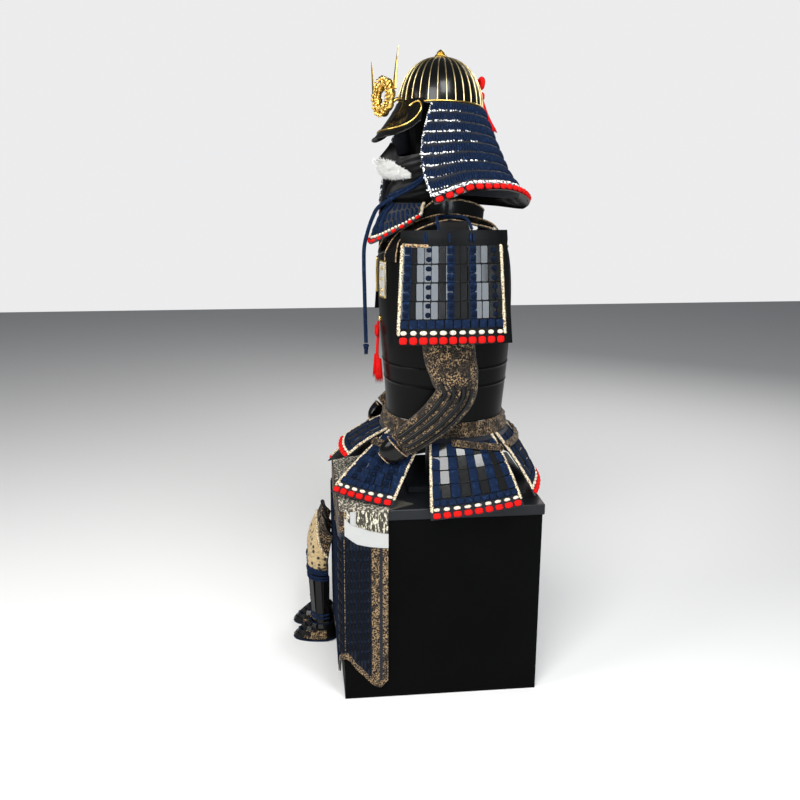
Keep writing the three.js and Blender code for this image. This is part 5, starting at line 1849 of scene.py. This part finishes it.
class BuildThighGuards(bpy.types.Operator):
    """Cream brocade cloths over the lid, white bands and plated aprons."""

    bl_idname = "armour.build_thigh_guards"
    bl_label = "Thigh guards"

    def execute(self, context):
        for side, name in ((1, "left"), (-1, "right")):
            cloth = thigh_cloth if side == 1 else mirrored(thigh_cloth)
            apron = thigh_apron if side == 1 else mirrored(thigh_apron)
            us, vs = steps(90), steps(40)
            ob = wall(
                "thigh_wrap_" + name, cloth, us, vs, 2, "pale_brocade", "brocade",
                ("thigh_cloth_" + name,), lift=lambda u, v: 0.0,
            )
            sheet(cloth, steps(40), steps(40))

            turned = (lambda u: u) if side == 1 else (lambda u: 1 - u)
            band = white_band if side == 1 else mirrored(white_band)
            start = 1 - SIDE_SHARE if side == 1 else 0
            beside = [start + SIDE_SHARE * t for t in steps(50)]
            wall(
                "thigh_band_" + name, band, beside, steps(6), 1.6, "white", "navy_cord",
                lift=lambda u, v: 2.8 + 0.4 * math.sin(v * 19),
            )
            before = thigh_front if side == 1 else mirrored(thigh_front)
            wall(
                "thigh_front_cloth_" + name, before, steps(60), steps(12), 1, "brocade", "brocade",
                lift=lambda u, v: 0.5,
            )
            skirting = thigh_skirting if side == 1 else mirrored(thigh_skirting)
            wall(
                "thigh_apron_cloth_" + name, skirting, us, steps(50), 2, "navy_ground", "navy_cord",
                ("thigh_apron_" + name,), lift=lambda u, v: 0.6,
            )
            self.plates(name, apron, turned)
            self.stripes(name, apron, turned)
            self.ties(name, cloth, turned)
        return {"FINISHED"}

    def plates(self, name, apron, turned):
        plates, cords = [], []
        columns, pitch = 32, 27.0
        for c in range(columns + 1):
            u = mix(0.012, 0.852, c / columns)
            foot = apron(turned(u), 0)[2] + 19
            head = white_band(u, 0)[2] - 3
            cords.append([level(apron, turned(u), mix(foot, head, t), 3.0) for t in steps(24)])
            if c == columns:
                continue
            middle = turned(u + 0.42 / columns)
            foot = apron(middle, 0)[2] + 19
            for r in range(math.ceil(foot / pitch), int(head / pitch)):
                place = level(apron, middle, pitch * (r + 0.5), 1.0)
                _, facing, across, _ = spot(apron, middle, 0.5)
                plates.append((place, facing, across, (1, 1, 1)))
        repeated(
            "thigh_plates_" + name, "plate", plates, "satin", (7.0, pitch - 1.6, 2.4), "navy_cord",
            uneven=0.03,
        )
        tube("thigh_lacing_" + name, cords, 1.9, "navy_dark", "navy_cord", sides=6)

    def stripes(self, name, apron, turned):
        parts = {
            "inner": (lambda u: mix(0.868, 0.93, u), None),
            "edge": (lambda u: mix(0.955, 0.998, u), None),
            "front": (lambda u: mix(0.002, 0.02, u), None),
            "foot": (lambda u: mix(0.002, 0.998, u), 17),
        }
        for label, (across, tall) in parts.items():
            def at(u, v, across=across, tall=tall):
                u = turned(across(u))
                foot = apron(u, 0)[2]
                head = foot + tall if tall else white_band(turned(u), 0)[2] - 2
                return level(apron, u, mix(foot, head, v), 3.4 if tall else 2.4)

            count = 120 if tall else 6
            mesh_at = at if turned(0) == 0 else (lambda u, v, at=at: at(1 - u, v))
            wall(
                "thigh_stripe_" + label + "_" + name, mesh_at, steps(count), steps(4 if tall else 60),
                1.2, "stripe_brocade", "brocade",
            )
        stitch = [[level(apron, turned(CORNER), mix(134, 432, t), 4.2) for t in steps(70)]]
        tube("thigh_corner_stitch_" + name, stitch, 1.1, "stripe_brocade", "navy_cord", sides=6)

    def ties(self, name, cloth, turned):
        """White tie that hangs in front of the cloth, beside a dark braid."""

        def strip(u, v):
            return tuple(spot(cloth, turned(0.70 + 0.045 * u), mix(0.32, 0.545, v), 2.4)[0])

        strip_at = strip if turned(0) == 0 else (lambda u, v: strip(1 - u, v))
        wall(
            "thigh_tie_" + name, strip_at, steps(8), steps(12), 1.0, "white", "brocade",
            lift=lambda u, v: 0.6 * math.sin(3.1 * u),
        )
        braid = [[spot(cloth, turned(0.66), mix(0.3, 0.545, t), 2.6)[0] for t in steps(16)]]
        tube("thigh_braid_" + name, braid, 2.6, "brown", "brocade", sides=8)


class BuildShinGuards(bpy.types.Operator):
    """Knee cloths, splinted shins and foot covers."""

    bl_idname = "armour.build_shin_guards"
    bl_label = "Shin guards"

    def execute(self, context):
        for name, x in SHINS.items():
            stand = Matrix.Translation((x, SHIN_Y, 0))
            knee_at, shin_at, foot_at = (placed(f, stand) for f in (knee, shin, foot))
            ob = wall(
                "knee_cloth_" + name, knee_at, steps(60), steps(40), 2, "brocade", "tan_cloth",
                ("knee_guard_" + name,), lift=lambda u, v: 0.6 + 0.8 * math.sin(u * 40) * v,
            )
            sheet(knee_at, steps(40), steps(30))

            def pad(u, v, knee_at=knee_at):
                angle = mix(-100, 100, u)
                share = abs(2 * u - 1)
                foot = 0.09 + 0.12 * share**3
                head = 0.84 - 0.4 * share**1.2
                return knee_at(0.5 + angle / 224, mix(foot, head, v))

            def crown(u, v):
                middle = math.sin(math.pi * clamp(v)) ** 0.6
                return 2.0 + 6.5 * middle * math.sin(math.pi * clamp(u)) ** 0.5

            wall("knee_pad_" + name, pad, steps(50), steps(26), 1.2, "dotted", "tan_cloth", lift=crown)
            ways = [lambda t: (t, 0.985)]
            edge_braid(
                "knee_pad_edge_" + name, pad, ways, 5.6, (8, 5.5, 4.6), 2.4, look="cream",
                slot="tan_cloth",
            )
            rim = [[spot(knee_at, mix(0.005, 0.995, u), 0.985, 1.2)[0] for u in steps(60)]]
            tube("knee_rim_" + name, rim, 3.0, "satin", "tan_cloth", sides=8)
            wall(
                "shin_cloth_" + name, shin_at, steps(60), steps(24), 2, "satin", "lacquer",
                ("shin_guard_" + name,), lift=lambda u, v: 0.8,
            )
            bars, piping = [], []
            for k in range(7):
                u = (k + 0.5) / 7
                place, facing, across, _ = spot(shin_at, u, 0.5, 0.8)
                bars.append((place, facing, across, (1, 1, 1)))
                if k in (0, 3, 6):
                    piping.append(
                        [
                            spot(shin_at, u + 0.07, v, 1.6)[0]
                            for v in [mix(0.03, 0.97, t) for t in steps(10)]
                        ]
                    )
            repeated("shin_splints_" + name, "plate", bars, "lacquer", (19, 146, 3.4), "lacquer")
            tube("shin_piping_" + name, piping, 1.0, "brown", "lacquer", sides=6)
            ties = []
            for height, at, out in (
                (0.02, knee_at, 3.0), (0.055, knee_at, 4.2), (0.09, knee_at, 3.4), (0.9, shin_at, 4.6),
                (0.95, shin_at, 4.6), (0.12, shin_at, 4.2), (0.19, shin_at, 4.4),
            ):
                ties.append([spot(at, mix(0.005, 0.995, u), height, out)[0] for u in steps(50)])
            tube("shin_ties_" + name, ties, 3.2, "navy", "navy_cord", sides=8)
            us = [k / 60 for k in range(60)]
            wall(
                "foot_cloth_" + name, foot_at, us, steps(20), 2, "satin", "navy_cord",
                ("foot_cover_" + name,), ring=True, lift=lambda u, v: 0.4,
            )
            self.foot(name, foot_at)
        return {"FINISHED"}

    def foot(self, name, at):
        plates = []
        for row, v in enumerate((0.2, 0.42, 0.66, 0.86)):
            for k in range(7):
                u = (k - 3) * (0.034 + 0.012 * row)
                plates.append(spot(at, u % 1.0, v, 0.8))
        repeated(
            "foot_plates_" + name, "plate", plates, "plates", (14, 12, 2.6), "navy_cord", uneven=0.06
        )
        rings = [[spot(at, u, v, 1.2)[0] for u in steps(60)] for v in (0.06, 0.97)]
        tube("foot_piping_" + name, rings, 1.6, "navy", "navy_cord", sides=6)

        def patch(u, v):
            return at(mix(0.10, 0.27, u), mix(0.16, 0.62, v))

        wall(
            "foot_patch_" + name, patch, steps(24), steps(14), 1.0, "stripe_brocade", "navy_cord",
            lift=lambda u, v: 1.6 + math.sin(3.1 * u) * 1.2,
        )
        toe = Vector(at(0.02, 0.5))
        loop = [
            toe + Vector((7 * math.cos(a), -1 - 4 * math.sin(a / 2), 6 * math.sin(a)))
            for a in [2 * math.pi * k / 24 for k in range(24)]
        ]
        tube("foot_toe_loop_" + name, [loop], 2.0, "navy", "navy_cord", closed=True, sides=8)


class BuildBox(bpy.types.Operator):
    """Storage box, lid and the plain stand inside the armour."""

    bl_idname = "armour.build_box"
    bl_label = "Box and stand"

    def execute(self, context):
        looks = {
            "box_body": "box",
            "box_lid": "lid",
            # The stand takes near-black wood so the gaps between the skirt panels show dark: painted
            # shade
            "stand_base": "dark",
            "stand_post": "dark",
            "stand_yoke": "dark",
            "stand_neck": "dark",
            "head_block": "satin",
            "helmet_lining": "navy_ground",
        }
        for node, look in looks.items():
            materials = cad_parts[node].data.materials
            if len(materials):
                materials[0] = finish(look)
            else:
                materials.append(finish(look))
        return {"FINISHED"}


class BuildStage(bpy.types.Operator):
    """Pale floor, soft studio lights and the camera at the photograph's angle."""

    bl_idname = "armour.build_stage"
    bl_label = "Stage"

    def execute(self, context):
        scene = context.scene
        mesh = bpy.data.meshes.new("floor")
        mesh.from_pydata([(-6, -6, 0), (6, -6, 0), (6, 6, 0), (-6, 6, 0)], [], [(0, 1, 2, 3)])
        floor = bpy.data.objects.new("floor", mesh)
        scene.collection.objects.link(floor)
        pale = Look("pale_floor", (0.86, 0.85, 0.83), 0.7)
        pale.relief(pale.noise(30, 2), 0.0005, 0.1)
        mesh.materials.append(pale.material)
        world = bpy.data.worlds.new("studio")
        world.use_nodes = True
        tree = world.node_tree
        dim = tree.nodes["Background"]
        dim.inputs[0].default_value = (0.78, 0.82, 0.90, 1)
        dim.inputs[1].default_value = 0.15
        pale = tree.nodes.new("ShaderNodeBackground")
        pale.inputs[0].default_value = (0.84, 0.84, 0.85, 1)
        seen = tree.nodes.new("ShaderNodeLightPath")
        blend = tree.nodes.new("ShaderNodeMixShader")
        tree.links.new(seen.outputs["Is Camera Ray"], blend.inputs[0])
        tree.links.new(dim.outputs[0], blend.inputs[1])
        tree.links.new(pale.outputs[0], blend.inputs[2])
        tree.links.new(blend.outputs[0], tree.nodes["World Output"].inputs[0])
        scene.world = world
        scene.view_settings.view_transform = "Standard"
        lights = [
            ("key", (2.6, -1.2, 3.0), (0, 0.05, 0.95), (1.6, 1.6), 105),
            ("strip_near", (2.7, -0.08, 1.25), (0.25, 0, 1.03), (0.42, 1.4), 20),
            ("strip_far", (2.5, 1.05, 1.2), (0.25, 0, 1.03), (0.42, 1.4), 18),
            ("over", (1.8, 0.4, 3.2), (0, 0.05, 0.6), (0.9, 0.9), 45),
            ("front", (0.9, -3.0, 2.2), (0, 0, 0.9), (1.6, 1.6), 60),
            ("back", (-2.4, 1.6, 2.4), (0, 0, 0.9), (1.6, 1.6), 35),
        ]
        for name, place, aim, size, power in lights:
            lamp = bpy.data.lights.new(name, "AREA")
            lamp.shape = "RECTANGLE"
            lamp.size, lamp.size_y = size
            lamp.color = (0.82, 0.91, 1.0) if name.startswith("strip") else (1, 1, 1)
            lamp.energy = power
            ob = bpy.data.objects.new(name, lamp)
            ob.location = place
            ob.rotation_euler = (Vector(place) - Vector(aim)).to_track_quat("Z", "Y").to_euler()
            scene.collection.objects.link(ob)
        data = bpy.data.cameras.new("camera")
        data.lens = 40.915
        data.sensor_width = 36
        camera = bpy.data.objects.new("camera", data)
        place = Matrix.Translation((2.19417, -0.33397, 1.29268))
        right = Vector((0.11246284, 0.99364991, 0.00345825))
        up = Vector((-0.25364147, 0.02534215, 0.96696628))
        back = Vector((0.96073832, -0.10962493, 0.25488087))
        camera.matrix_world = place @ Matrix((right, up, back)).transposed().to_4x4()
        scene.collection.objects.link(camera)
        scene.camera = camera
        return {"FINISHED"}


OPERATORS = [
    BuildStage,
    BuildFace,
    BuildHelmet,
    BuildNeckGuard,
    BuildCuirass,
    BuildShoulderGuards,
    BuildSleeves,
    BuildWaist,
    BuildThighGuards,
    BuildShinGuards,
    BuildBox,
]


class ArmourPanel(bpy.types.Panel):
    """Buttons that build the armour, and its colours and sizes."""

    bl_idname = "ARMOUR_PT_build"
    bl_label = "Samurai armour"
    bl_space_type = "VIEW_3D"
    bl_region_type = "UI"
    bl_category = "Armour"

    def draw(self, context):
        for operator in OPERATORS:
            self.layout.operator(operator.bl_idname)
        for group in (context.scene.armour_sizes, context.scene.armour_colors):
            for name in group.__annotations__:
                self.layout.prop(group, name)


CLASSES = [ArmourColors, ArmourSizes, *OPERATORS, ArmourPanel]


def register():
    for cls in CLASSES:
        bpy.utils.register_class(cls)
    bpy.types.Scene.armour_colors = bpy.props.PointerProperty(type=ArmourColors)
    bpy.types.Scene.armour_sizes = bpy.props.PointerProperty(type=ArmourSizes)


def unregister():
    del bpy.types.Scene.armour_sizes
    del bpy.types.Scene.armour_colors
    for cls in reversed(CLASSES):
        bpy.utils.unregister_class(cls)


def main():
    register()
    for operator in OPERATORS:
        group, name = operator.bl_idname.split(".")
        getattr(getattr(bpy.ops, group), name)()
    for ob in FORMS.values():
        bpy.data.objects.remove(ob)
    FORMS.clear()


if __name__ == "__main__":
    main()
